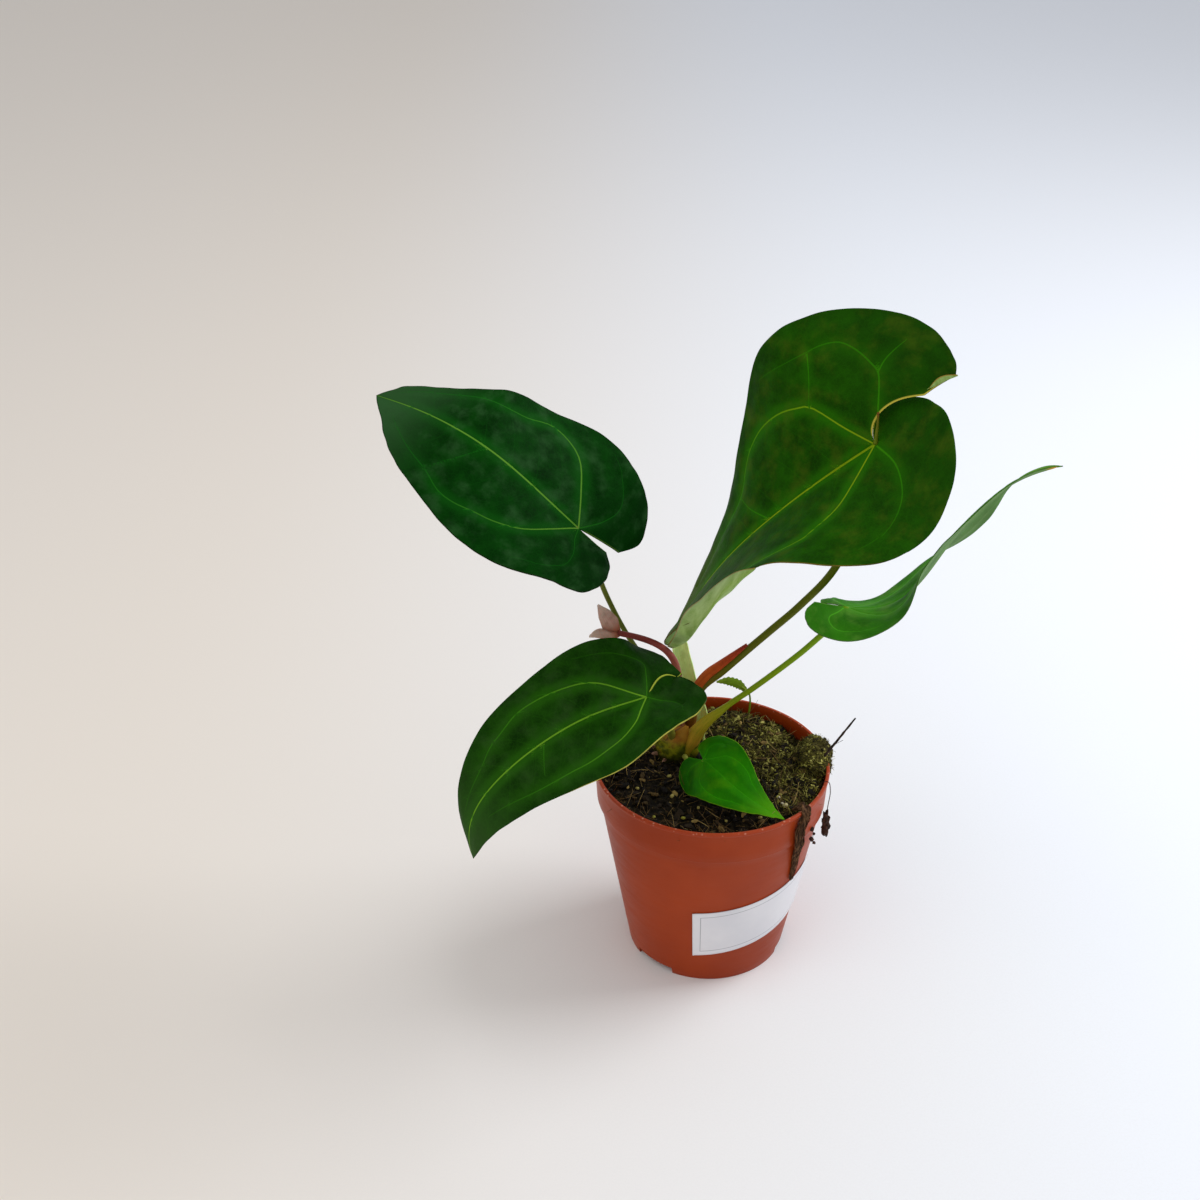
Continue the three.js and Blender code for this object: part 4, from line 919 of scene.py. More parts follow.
def stalk_radius(foot, top):
    """A rule for a stalk's radius, which narrows up to STALK_FOOT and swells at the knee."""
    def radius_at(along):
        base = foot + (top - foot) * np.minimum(1, along / STALK_FOOT)
        near_knee = np.maximum(0, 1 - np.abs(along - KNEE["at"]) / KNEE["half_length"])
        return base + KNEE["swell"] * top * near_knee

    return radius_at


print("stalks swell at", KNEE["at"], "of their length")


# %% Stalk finish
def stalk_finish(name, stops, shade):
    """Colours along the stalk, with thin lengthwise streaks and dark specks."""
    mix = Finish(name)
    tone = mix.ramp(mix.mark("along"), stops)
    streaks = mix.noise(mix.marked_place("along", "around", (6, 16, 1)), 3.0, 4)
    tone = mix.over(tone, shade, streaks, 0.4, 0.75, 0.5)
    specks = mix.fade(mix.cells(mix.place(), 900), 0.28, 0.12, 0, 0.35)
    tone = mix.blend(specks, tone, mix_down(shade, 0.5))
    normal = mix.bump(mix.noise(mix.place((1, 1, 0.25)), 900), 0.15, 0.4)
    return mix.done(tone, mix.fade(streaks, 0.3, 0.7, 0.38, 0.48), normal)


# Stops for each stalk's colours, and the shade of its streaks.
STALK_LOOKS = {
    "large_leaf": ([(0, 130, 72, 34), (0.22, 104, 104, 20), (1, 104, 122, 22)], (64, 68, 8)),
    "right_leaf": ([(0, 140, 124, 26), (0.08, 196, 150, 44), (0.2, 172, 154, 34), (0.36, 136, 160, 20),
                    (1, 124, 168, 24)], (96, 126, 12)),
    "left_leaf": ([(0, 110, 100, 40), (0.5, 98, 110, 32), (1, 116, 120, 50)], (76, 70, 28)),
    "low_leaf": ([(0, 160, 140, 56), (0.3, 110, 126, 40), (1, 96, 124, 40)], (72, 86, 28)),
    "young_leaf": ([(0, 176, 166, 80), (1, 116, 166, 46)], (104, 136, 40)),
}
STALK_GROOVE = 0.16

# Where the notch of the large leaf gapes, the first rib of its upper lobe has no blade round it.
NAKED_RIB = [(64.6, -26.5, 317), (64.6, -27.4, 311.4), (64.4, -27.9, 307.3), (64.4, -27.6, 302.4)]
NAKED_RIB_RADII = (0.5, 1.1)

for name, leaf in LEAVES.items():
    form = tube(stalk_route(leaf), stalk_radius(*leaf["radii"]), groove=STALK_GROOVE)
    if name == "large_leaf":
        thin, thick = NAKED_RIB_RADII
        form = joined([form, tube(NAKED_RIB, lambda v: thin + (thick - thin) * v**2, 10, 20)])
    stops, shade = STALK_LOOKS[name]
    finish = stalk_finish(name + "_stalk", stops, colour(*shade))
    piece(name + "_stem", form, [finish], [name + "_stalk"])

# %% [markdown]
# ## Flower stalk and papery scales
# The plant has dropped its flower. The red-brown stalk still arches to the left and ends in the dried,
# pinkish bract, which is torn into an upright tongue and a curled one. Two scales wrap the stalks: a
# red-brown one and a pale green one. All are strips laid along a route and cupped across it, narrow at
# the end, with fine lengthwise ribs in their colour.

# %% Strips
FLOWER_STALK = [
    (-16, 22, 108), (-15.5, 20, 122), (-16.8, 16, 143), (-18.9, 11, 161), (-22.8, 7, 171),
    (-27.1, 5, 176.3), (-33.4, 3, 181), (-41.6, 2, 184.4), (-48.5, 2, 186),
]
FLOWER_RADII = (2.5, 1.4)
FLOWER_GROOVE = 0.08
TOOTH_DEPTH = 0.6
PAPER_GLOW_DEPTH = 0.002
SCALES = {
    "upright_bract": {"route": [(-48.2, 2, 185.4), (-51, 1.4, 190), (-54, 0.8, 196), (-58, 0, 203.2)],
                      "out": (0.3, -1, 0.1), "widths": [4, 9, 6.5, 0.8], "depth": 0.16},
    "curled_bract": {"route": [(-48, 1.8, 186), (-53.5, -1.6, 188.2), (-58.8, -1.2, 188.6), (-62, 1.4, 185)],
                     "out": (0.1, -0.4, 1), "widths": [4, 7, 6, 2.5], "depth": 0.2},
    "stalk_sheath": {"route": [(-10, 20, 131), (-8.6, 19.6, 142), (-3.4, 19.6, 150.4), (3, 19.4, 156.2),
                               (10.2, 19.2, 162.6), (16.8, 19, 168.6)],
                     "out": (-0.55, -0.6, 0.6), "widths": [4, 5.2, 5.2, 4.4, 3.1, 1.2], "depth": 0.34},
    "bud_sheath": {"route": [(-7, 27, 106), (-4.6, 28.5, 120), (-9, 30, 134), (-12.9, 32, 146.5),
                             (-15.4, 34, 156.2), (-16.2, 36, 163.5), (-15.2, 37, 169)],
                   "out": (-0.1, -1, 0.2), "widths": [9, 7.6, 6.4, 7.2, 8.4, 8, 3], "depth": -0.22},
    "seedling_leaf": {"route": [(21.5, 51.5, 118.6), (16.5, 52, 123), (11, 52.2, 124.8), (5, 52.5, 124.1)],
                      "out": (0, -0.85, 0.5), "widths": [1.6, 4.2, 3.8, 0.8], "depth": 0.08},
}


def strip(route, out, widths, depth, columns=20, rows=56, crumple=0.0, teeth=0):
    """A strip along a route, cupped towards out, with teeth on its edges if asked."""
    line, across, face = along_route(route, rows + 1, out)

    def rule(u, v):
        row = np.rint(v * rows).astype(int)
        width = np.interp(v * (len(widths) - 1), np.arange(len(widths)), widths)
        if teeth:
            width = width * (1 + TOOTH_DEPTH * np.abs(np.mod(v * teeth, 1) - 0.5))
        share = u - 0.5
        push = -4 * share**2 * width * depth
        points = line[row] + (width * share)[:, None] * across[row] + push[:, None] * face[row]
        if crumple:
            points = points + (crumple * rough(points, 3.0))[:, None] * face[row]
        return points, {"along": v, "around": u}

    return laid(columns, rows, rule, merge=0.0)


def papery_finish(name, stops, rib, dull=0.55, glow=0.0):
    """Dry or young scale: a colour ramp along it, with fine ribs that run the same way."""
    mix = Finish(name)
    tone = mix.ramp(mix.mark("along"), stops)
    ribs = mix.noise(mix.marked_place("along", "around", (1.5, 22, 1)), 1.0, 4)
    tone = mix.over(tone, rib, ribs, 0.4, 0.7, 0.6)
    blotch = mix.fade(mix.noise(mix.place(), 260, 4), 0.45, 0.75, 0, 0.45)
    tone = mix.blend(blotch, tone, mix_down(rib, 0.8))
    return mix.done(tone, dull, mix.bump(ribs, 0.4, 0.5), shine=0.12,
                    Subsurface_Weight=glow, Subsurface_Scale=PAPER_GLOW_DEPTH)


print("strips to lay:", ", ".join(SCALES))


# %% Flower stalk, bract and sheaths
def flower_radius(v):
    return FLOWER_RADII[0] + (FLOWER_RADII[1] - FLOWER_RADII[0]) * v


flower_stops = [(0, 176, 122, 92), (0.45, 172, 106, 84), (0.7, 136, 62, 52), (1, 126, 54, 48)]
flower_finish = stalk_finish("flower_stalk_red", flower_stops, colour(112, 50, 44))
flower_form = tube(FLOWER_STALK, flower_radius, groove=FLOWER_GROOVE)
piece("flower_stem", flower_form, [flower_finish], ["flower_stalk"])

bract_stops = [(0, 120, 58, 26), (0.14, 156, 88, 56), (0.28, 184, 150, 132), (1, 204, 186, 172)]
bract_finish = papery_finish("dry_bract", bract_stops, colour(162, 126, 112), glow=0.2)
bract_forms = [strip(**SCALES["upright_bract"], crumple=0.5), strip(**SCALES["curled_bract"], crumple=0.7)]
piece("dry_bract", joined(bract_forms), [bract_finish], ["bract"], 0.3)

red_stops = [(0, 150, 86, 26), (0.45, 200, 90, 26), (0.8, 184, 66, 32), (1, 146, 42, 34)]
red_finish = papery_finish("red_sheath", red_stops, colour(150, 58, 22), dull=0.6)
piece("red_sheath", strip(**SCALES["stalk_sheath"]), [red_finish], ["stalk_sheath"], 0.7)

pale_stops = [(0, 200, 226, 140), (0.4, 208, 240, 150), (1, 214, 242, 160)]
pale_finish = papery_finish("pale_sheath", pale_stops, colour(176, 216, 118), dull=0.5, glow=0.3)
piece("pale_sheath", strip(**SCALES["bud_sheath"]), [pale_finish], ["bud_sheath"], 0.7)

# %% [markdown]
# ## Folded margins
# Near its tip the large leaf turns a margin over and shows its pale underside, and so does the corner
# of its upper lobe. Each fold is a ribbon between two lines: the fold itself, which is the leaf's
# outline, and the free margin. It bulges to the front between them, so it clears the blade behind it.

# %% Folds
FOLD_THICKNESS = 0.35
FOLDS = [
    {"fold": [(11.2, -59, 257), (5.4, -55.1, 250), (0.2, -51.6, 241.8), (-5.7, -48.5, 234.7),
              (-10.1, -43.7, 224.5), (-12.3, -37.7, 217.1), (-14.7, -27, 205), (-16.5, -10, 190),
              (-21, 14, 169.7)],
     "margin": [(10.9, -59.6, 257.6), (5.1, -47.5, 249.2), (-0.3, -34.5, 237.7), (-6, -27, 227.4),
                (-10.2, -21.2, 218.5), (-14.5, -17, 211.9), (-17.9, -12, 203.1), (-20.1, -16.6, 199.7),
                (-23.3, 12.6, 171.5)],
     "swell": 21, "outwards": (1.7, 0, -1.5)},
    {"fold": [(83.5, -33.2, 330.9), (87.2, -35.3, 333.9), (90.8, -37.3, 337), (94.9, -39, 339.8)],
     "margin": [(84.1, -34.3, 331.8), (87, -35, 336.6), (89.9, -36.8, 339), (94.3, -39.4, 340.3)],
     "swell": 0.5, "outwards": (0, 0, 0)},
]
FULLEST = 0.95
ROUNDNESS = 0.6


def ribbon(fold, margin, swell, outwards, columns=10, rows=70):
    """A sheet between two lines. It bulges to the front, and its fold is moved outwards in the middle."""
    lines = np.stack([curve_through(line, rows + 1) for line in (fold, margin)])
    lines[0] += np.outer(np.sin(np.linspace(0, math.pi, rows + 1)) ** ROUNDNESS, outwards)

    def rule(u, v):
        row = np.rint(v * rows).astype(int)
        points = lines[0][row] * (1 - u)[:, None] + lines[1][row] * u[:, None]
        width = np.linalg.norm(lines[1][row] - lines[0][row], axis=1)
        bulge = np.minimum(swell, FULLEST * width) * np.sin(math.pi * u) ** ROUNDNESS
        points[:, 1] -= bulge
        points[:, 2] += 0.6 * bulge
        return points, {"margin": (1 - u) * width, "flat_x": v * 60, "flat_y": u * width}

    return laid(columns, rows, rule, merge=0.0)


def fold_finish():
    """The pale underside, with a brown line along the free margin."""
    mix = Finish("leaf_fold")
    flat = mix.marked_place("flat_x", "flat_y")
    patches = mix.fade(mix.noise(flat, 0.12, 4), 0.3, 0.75)
    tone = mix.blend(patches, colour(124, 158, 66), colour(168, 194, 122))
    net = mix.fade(mix.cells(flat, 0.6, "DISTANCE_TO_EDGE"), 0, 0.12, 0.25, 0)
    tone = mix.blend(net, tone, colour(170, 192, 122))
    tone = mix.over(tone, colour(150, 124, 46), mix.mark("margin"), 0.6, 0.2)
    return mix.done(tone, 0.6, mix.bump(mix.cells(flat, 0.9), 0.15, 0.4), shine=0.12)


fold_forms = [ribbon(**fold) for fold in FOLDS]
piece("leaf_folds", joined(fold_forms), [fold_finish()], thickness=FOLD_THICKNESS)

# %% [markdown]
# ## The crown
# All stalks come from one short, thick stem, half sunk in the soil. Old scales wrap it in uneven rings,
# green with brown and orange patches, and the first root nubs push out sideways. It's a grid rolled
# into a turned body, whose radius has steps for the rings and noise for the lumps. Two thicker scales
# stand in front of it as strips.

# %% Crown
STEM = {"x": -18, "y": 20.5, "foot": 78, "radius": 10.5}
STEM_PROFILE = [(0, 0), (0.5, 3), (0.8, 14), (0.97, 24), (1, 31), (0.82, 37), (0.5, 40.5), (0.25, 41.6),
                (0, 42)]
RINGS = {"apart": 4.2, "depth": 0.09, "tilt": 1.6, "wave": 0.8}
SHELL_THICKNESS = 0.5

# Each nub's turn and rise in degrees, its length, its radius and its height.
ROOT_NUBS = [(172, 8, 15, 1.5, 103), (205, 14, 14, 1.7, 101), (238, 4, 13, 1.4, 102),
             (290, -6, 13, 1.5, 102), (20, 0, 13, 1.4, 103)]


def crown_rule(u, v):
    profile = np.array(STEM_PROFILE)
    shares = np.linspace(0, 1, len(profile))
    z = np.interp(v, shares, profile[:, 1])
    radius = np.interp(v, shares, profile[:, 0]) * STEM["radius"]
    angle = 2 * math.pi * u
    tilt = RINGS["tilt"] * np.sin(angle + 0.6) + RINGS["wave"] * np.sin(2 * angle + 2)
    step = np.mod((z + tilt) / RINGS["apart"], 1)
    radius = radius * (1 + RINGS["depth"] * (step - 0.5))
    ring = np.stack([np.cos(angle), np.sin(angle), 0 * angle], -1)
    points = np.array([STEM["x"], STEM["y"], STEM["foot"]]) + radius[:, None] * ring
    points[:, 2] += z
    lumps = 0.45 * rough(points, 4.0) + 0.2 * rough(points, 1.3, 3)
    return points + (lumps * (radius > 0.5))[:, None] * ring, {"along": v, "around": step}


def crown_finish():
    """Green and yellow patches, orange on top and dark at the soil and in the rings' grooves."""
    mix = Finish("crown_scales")
    patches = mix.noise(mix.place(), 190, 4)
    tone = mix.ramp(patches, [(0.3, 34, 40, 4), (0.44, 84, 92, 10), (0.56, 140, 138, 22),
                              (0.7, 112, 84, 16)])
    height = mix.node("SeparateXYZ", {"Vector": mix.place()}).outputs["Z"]
    tone = mix.over(tone, colour(176, 112, 36), height, 0.112, 0.117, 0.8)
    tone = mix.over(tone, colour(30, 30, 6), height, 0.1075, 0.1035, 0.9)
    dark = mix.fade(mix.mark("around"), 0.16, 0.0, 0, 0.8)
    tone = mix.blend(dark, tone, colour(48, 40, 18))
    normal = mix.bump(mix.noise(mix.place((1, 1, 0.3)), 1100, 4), 0.35, 0.6)
    return mix.done(tone, 0.55, normal, shine=0.15)


def nub_finish():
    mix = Finish("root_nub")
    tone = mix.ramp(mix.mark("along"), [(0, 96, 74, 44), (0.5, 140, 104, 76), (1, 160, 118, 98)])
    tone = mix.over(tone, colour(110, 76, 54), mix.noise(mix.place(), 500), 0.45, 0.7, 0.6)
    return mix.done(tone, 0.6, mix.bump(mix.noise(mix.place(), 1200), 0.2, 0.5), shine=0.3)


def nub(angle, tilt, length, radius, height):
    """A short root that starts inside the stem and ends round."""
    turn, rise = math.radians(angle), math.radians(tilt)
    ahead = np.array([math.cos(turn) * math.cos(rise), math.sin(turn) * math.cos(rise), math.sin(rise)])
    foot = np.array([STEM["x"], STEM["y"], height])
    route = [tuple(foot + ahead * length * share) for share in (0.3, 0.6, 0.85, 1)]

    def radius_at(along):
        return radius * (1 - 0.5 * along**1.5) * np.sqrt(np.clip(1.001 - along**6, 0, 1))

    return tube(route, radius_at, 12, 20, wobble=0.2)


def shell(form):
    """A sheet given a thin body, by pulling a second layer back from it."""
    bmesh.ops.recalc_face_normals(form, faces=form.faces)
    bmesh.ops.solidify(form, geom=form.faces[:], thickness=SHELL_THICKNESS * MM)
    bmesh.ops.recalc_face_normals(form, faces=form.faces)
    return form


def with_material(form, index):
    for face in form.faces:
        face.material_index = index
    return form


CROWN_SCALES = [
    {"route": [(-19, 9.5, 103), (-18.5, 8.6, 110), (-16, 9.5, 117.5), (-12.5, 11.6, 124)],
     "out": (-0.1, -1, 0.25), "widths": [15, 14.5, 10.5, 2], "depth": 0.34},
    {"route": [(-9, 12, 103), (-8.6, 10.8, 109), (-7.6, 11, 115), (-5, 12.4, 121)],
     "out": (0.35, -1, 0.2), "widths": [10, 10, 7, 1.5], "depth": 0.34},
]
crown_forms = [closed(laid(84, 70, crown_rule))]
crown_forms += [shell(strip(**spec, crumple=0.25)) for spec in CROWN_SCALES]
crown_forms += [with_material(nub(*spec), 1) for spec in ROOT_NUBS]
piece("crown", joined(crown_forms), [crown_finish(), nub_finish()], ["stem"])

# %% [markdown]
# ## The pot
# A thin moulded pot: a smooth tapering wall, a collar with a rolled bead, a raised floor with drain
# holes, and three notches in the foot ring. A moulded round thing is a profile turned about an axis, which
# is what Spin does. The sharp corners then get a small bevel, so that they catch the light as moulded
# edges do, and a Boolean cuts the holes and the notches.

# %% Pot sizes
POT_HEIGHT = 110
RIM_RADIUS = 60
FOOT_RADIUS = 41
WALL = 1.2
COLLAR_HEIGHT = 19
COLLAR_STEP = 1.4
COLLAR_DRAFT = 1
BEAD_HEIGHT = 2
BEAD_STEP = 0.5
ROUNDING = 0.4
FLOOR_HEIGHT = 4
PAD_RADIUS = 12
FOOT_RING_WIDTH = 3.5
POT_TURNS = 240
PROFILE_STEP = 5
COLLAR_FOOT = POT_HEIGHT - COLLAR_HEIGHT
WALL_TOP_RADIUS = RIM_RADIUS - BEAD_STEP - COLLAR_DRAFT - COLLAR_STEP
DRAIN_HOLES = {"count": 8, "radius": 3.2, "circle": 25}
NOTCHES = {"count": 3, "height": 3.8, "width": 23, "first": -134}


def wall_radius(z):
    """The outside of the wall at a height."""
    return FOOT_RADIUS + (WALL_TOP_RADIUS - FOOT_RADIUS) * z / COLLAR_FOOT


def pot_profile():
    """The wall's outline as radii and heights, from the middle of the underside round to the floor's top."""
    inner_foot = wall_radius(FLOOR_HEIGHT + WALL) - WALL
    ring_inner = FOOT_RADIUS - FOOT_RING_WIDTH
    collar_foot = WALL_TOP_RADIUS + COLLAR_STEP
    rim = RIM_RADIUS - BEAD_STEP
    corners = [
        (0, 0), (PAD_RADIUS, 0), (PAD_RADIUS + WALL, FLOOR_HEIGHT), (ring_inner, FLOOR_HEIGHT),
        (ring_inner + WALL, 0), (FOOT_RADIUS, 0), (wall_radius(COLLAR_FOOT), COLLAR_FOOT),
        (collar_foot, COLLAR_FOOT + ROUNDING), (rim, POT_HEIGHT - BEAD_HEIGHT),
        (RIM_RADIUS, POT_HEIGHT - BEAD_HEIGHT + ROUNDING), (RIM_RADIUS, POT_HEIGHT - ROUNDING),
        (RIM_RADIUS - ROUNDING, POT_HEIGHT), (rim - WALL, POT_HEIGHT),
        (collar_foot - WALL, COLLAR_FOOT + WALL),
        (wall_radius(COLLAR_FOOT) - WALL, COLLAR_FOOT - WALL), (inner_foot, FLOOR_HEIGHT + WALL),
        (PAD_RADIUS, FLOOR_HEIGHT + WALL), (PAD_RADIUS - WALL, WALL), (0, WALL),
    ]
    points = []
    for (r0, z0), (r1, z1) in zip(corners, corners[1:]):
        parts = max(1, round(math.hypot(r1 - r0, z1 - z0) / PROFILE_STEP))
        points += [(r0 + (r1 - r0) * i / parts, z0 + (z1 - z0) * i / parts) for i in range(parts)]
    return [*points, corners[-1]]


print("the wall's radius under the collar:", WALL_TOP_RADIUS)

# %% Turn, soften and cut the pot
CORNER_ANGLE = math.radians(20)
CORNER_BEVEL = 0.22
SHARP_ANGLE = math.radians(40)


def pot_form():
    form = bmesh.new()
    verts = [form.verts.new((r * MM, 0, z * MM)) for r, z in pot_profile()]
    edges = [form.edges.new(pair) for pair in zip(verts, verts[1:])]
    bmesh.ops.spin(form, geom=[*verts, *edges], cent=(0, 0, 0), axis=(0, 0, 1), dvec=(0, 0, 0),
                   angle=2 * math.pi, steps=POT_TURNS, use_merge=True)
    bmesh.ops.remove_doubles(form, verts=form.verts, dist=0.005 * MM)
    bmesh.ops.recalc_face_normals(form, faces=form.faces)
    corners = [edge for edge in form.edges if edge.is_manifold and edge.calc_face_angle() > CORNER_ANGLE]
    bmesh.ops.bevel(form, geom=corners, offset=CORNER_BEVEL * MM, offset_type="OFFSET", segments=2,
                    profile=0.5, affect="EDGES", material=-1, clamp_overlap=True)
    return form


def pot_cutters():
    form = bmesh.new()
    for i in range(DRAIN_HOLES["count"]):
        turn = Matrix.Rotation(2 * math.pi * (i + 0.5) / DRAIN_HOLES["count"], 4, "Z")
        place = turn @ Matrix.Translation((DRAIN_HOLES["circle"] * MM, 0, FLOOR_HEIGHT * MM))
        bmesh.ops.create_cone(form, cap_ends=True, segments=32, radius1=DRAIN_HOLES["radius"] * MM,
                              radius2=DRAIN_HOLES["radius"] * MM, depth=4 * WALL * MM, matrix=place)
    for i in range(NOTCHES["count"]):
        turn = Matrix.Rotation(math.radians(NOTCHES["first"] + 360 / NOTCHES["count"] * i), 4, "Z")
        sides = (4 * FOOT_RING_WIDTH * MM, NOTCHES["width"] * MM, 2 * NOTCHES["height"] * MM, 1)
        place = turn @ Matrix.Translation((FOOT_RADIUS * MM, 0, 0)) @ Matrix.Diagonal(sides)
        bmesh.ops.create_cube(form, size=1, matrix=place)
    return form


def pot_finish():
    """Matt orange-brown plastic, a little uneven, with flecks of soil, worn specks on the rim and a painted
    highlight on its bead.
    """
    mix = Finish("pot_plastic")
    place = mix.place()
    height = mix.node("SeparateXYZ", {"Vector": place}).outputs["Z"]
    tone = mix.blend(mix.fade(mix.noise(place, 18, 4), 0.3, 0.7), colour(164, 60, 14), colour(148, 50, 8))
    flow = mix.fade(mix.noise(mix.place((1, 1, 0.15)), 60, 4), 0.4, 0.75, 0, 0.14)
    tone = mix.blend(flow, tone, colour(170, 68, 26))
    chips = mix.fade(mix.cells(place, 420), 0.3, 0.14)
    on_rim = mix.fade(height, 0.1085, 0.1095, 0, 0.6)
    tone = mix.blend(mix.times(chips, on_rim), tone, colour(226, 176, 150))
    # Painted highlight: the bead at the top of the rim is painted lighter.
    tone = mix.over(tone, colour(180, 72, 44), height, 0.107, 0.1095, 0.35)
    dust = mix.fade(mix.noise(place, 240, 5, 0.7), 0.62, 0.78, 0, 0.4)
    tone = mix.blend(dust, tone, colour(98, 48, 26))
    grain = mix.noise(place, 1400, 2)
    scuffs = mix.noise(mix.place((1, 1, 6)), 70, 5, 0.7)
    normal = mix.bump(grain, 0.08, 0.35, mix.bump(mix.noise(place, 45, 2), 1.0, 0.15))
    return mix.done(tone, mix.fade(scuffs, 0.3, 0.75, 0.36, 0.5), normal, shine=0.16)


def cut(name, form, cutters):
    """A mesh of the form with the cutters taken out of it."""
    bodies = []
    for part_name, part in ((name, form), (name + "_cutters", cutters)):
        mesh = bpy.data.meshes.new(part_name)
        part.to_mesh(mesh)
        part.free()
        body = bpy.data.objects.new(part_name, mesh)
        bpy.context.collection.objects.link(body)
        bodies.append(body)
    tool = bodies[0].modifiers.new("cut", "BOOLEAN")
    tool.operation = "DIFFERENCE"
    tool.solver = "EXACT"
    tool.object = bodies[1]
    shaped = bodies[0].evaluated_get(bpy.context.evaluated_depsgraph_get())
    result = bpy.data.meshes.new_from_object(shaped)
    for body in bodies:
        mesh = body.data
        bpy.data.objects.remove(body)
        bpy.data.meshes.remove(mesh)
    return result


pot_mesh = cut("pot_shape", pot_form(), pot_cutters())
pot = piece("moulded_pot", pot_mesh, [pot_finish()], ["pot"])
pot.data.set_sharp_from_angle(angle=SHARP_ANGLE)

# %% [markdown]
# ## The sticker
# A white paper label is stuck on the front, slightly aslant. It has no print here, only a thin grey
# line round it. A curved sheet follows the wall, and the line is drawn from numbers that tell how far
# a point is from each edge.

# %% Sticker
STICKER = {"from": -102, "to": -18, "middle": 35.5, "climb": 0.135, "height": 32.5, "gap": 0.3, "thick": 0.3,
           "lifted_end": 0.25}
BORDER_INSET = (4, 3.2)
BORDER_HALF_WIDTH = 0.16


def sticker_rule(u, v):
    degrees = STICKER["from"] + (STICKER["to"] - STICKER["from"]) * u
    angle = np.radians(degrees)
    z = STICKER["middle"] + STICKER["climb"] * (degrees - STICKER["from"]) + STICKER["height"] * (v - 0.5)
    lifted = STICKER["lifted_end"] * smooth_step(np.abs(u - 0.5), 0.47, 0.5)
    radius = wall_radius(z) + STICKER["gap"] + STICKER["thick"] / 2 + lifted
    points = np.stack([radius * np.cos(angle), radius * np.sin(angle), z], -1)
    length = wall_radius(STICKER["middle"]) * math.radians(STICKER["to"] - STICKER["from"])
    from_end = np.minimum(u, 1 - u) * length
    from_long_edge = np.minimum(v, 1 - v) * STICKER["height"]
    return points, {"from_end": from_end, "from_long_edge": from_long_edge}


def paper_finish():
    """White paper with a thin grey line at an even distance from each edge."""
    mix = Finish("label_paper")
    place = mix.place()
    patches = mix.fade(mix.noise(place, 30, 4), 0.3, 0.75)
    tone = mix.blend(patches, colour(234, 232, 234), colour(222, 221, 225))
    ends = mix.sum("SUBTRACT", mix.mark("from_end"), BORDER_INSET[0])
    long_edges = mix.sum("SUBTRACT", mix.mark("from_long_edge"), BORDER_INSET[1])
    nearest = mix.sum("ABSOLUTE", mix.sum("MINIMUM", ends, long_edges))
    line = mix.fade(nearest, 1.5 * BORDER_HALF_WIDTH, 0.5 * BORDER_HALF_WIDTH, 0, 0.75)
    tone = mix.blend(line, tone, colour(120, 122, 128))
    normal = mix.bump(mix.noise(place, 1500, 3), 0.06, 0.5)
    return mix.done(tone, 0.45, normal, shine=0.4)


label_form = laid(96, 32, sticker_rule, merge=0.0)
piece("label", label_form, [paper_finish()], ["sticker"], STICKER["thick"])

# %% [markdown]
# ## The soil
# Peat isn't one surface: it's a dark lumpy bed with chips of bark, thin roots, a few pale granules and
# patches of living moss, mostly at the back and on the right. The bed is a grid rolled into a disc,
# made lumpy by noise and higher at the back. The rest is scattered: one small shape with few faces is
# copied hundreds of times, and every copy gets its own turn, size and shade from a seeded draw, so each
# run gives the same pot.

# %% Soil bed
SOIL = {"level": 101.5, "tilt": 2.2, "lump": 1.1, "edge": 56.6}
MOUND = {"x": 12, "y": 46, "wide": 22, "deep": 17, "height": 4.2}
MOSS_RAISE = 0.8
RNG = np.random.default_rng(7)


def soil_height(x, y):
    """The soil's height, the same for the bed and for all that lies on it."""
    lumps = np.sin(x / 6.5 + 1) * np.cos(y / 7.5)
    lumps = lumps + 0.6 * np.sin(x / 2.9 + y / 3.4) * np.cos(y / 3.1 - x / 5.3)
    far = ((x - MOUND["x"]) / MOUND["wide"]) ** 2 + ((y - MOUND["y"]) / MOUND["deep"]) ** 2
    slope = SOIL["tilt"] * (x - y) / (2 * RIM_RADIUS)
    return SOIL["level"] + slope + SOIL["lump"] * lumps + MOUND["height"] * np.exp(-far)


def mossy(x, y):
    """How much moss grows at a place: none at the front left, most at the right and the back."""
    grown = smooth_step(0.85 * x + 0.5 * y + 9 * np.sin(x / 9) * np.cos(y / 8), 8, 30)
    patchy = 0.5 + 0.5 * np.sin(x / 4.3 + 1.5 * np.sin(y / 5)) * np.cos(y / 4.9 - np.sin(x / 6))
    return grown * (0.25 + 0.75 * patchy)


def bed_rule(u, v):
    angle = 2 * math.pi * u
    radius = v * SOIL["edge"]
    x, y = radius * np.cos(angle), radius * np.sin(angle)
    flat = np.stack([x, y, 0 * x], -1)
    crumbs = 1.5 * rough(flat, 4.6) + 0.9 * rough(flat, 2.1, 4) + 0.4 * rough(flat, 0.9, 9)
    z = soil_height(x, y) + crumbs * (1 + 0.5 * mossy(x, y)) + MOSS_RAISE * mossy(x, y)
    return np.stack([x, y, z], -1), {"moss": mossy(x, y)}


def soil_finish():
    """Dark peat with pale crumbs, and an olive one where the mesh says that moss grows."""
    mix = Finish("peat")
    place = mix.place()
    peat = [(0.3, 8, 6, 3), (0.5, 21, 16, 8), (0.64, 50, 39, 18), (0.8, 112, 92, 50)]
    moss = [(0.3, 24, 22, 8), (0.48, 70, 66, 26), (0.64, 112, 104, 48), (0.8, 176, 166, 90)]
    tone = mix.ramp(mix.noise(place, 420, 5, 0.7), peat)
    green = mix.ramp(mix.noise(place, 520, 5, 0.7), moss)
    tone = mix.over(tone, green, mix.mark("moss"), 0.1, 0.9)
    normal = mix.bump(mix.noise(place, 900, 5, 0.7), 0.9, 0.8)
    return mix.done(tone, 0.9, normal, shine=0.12)


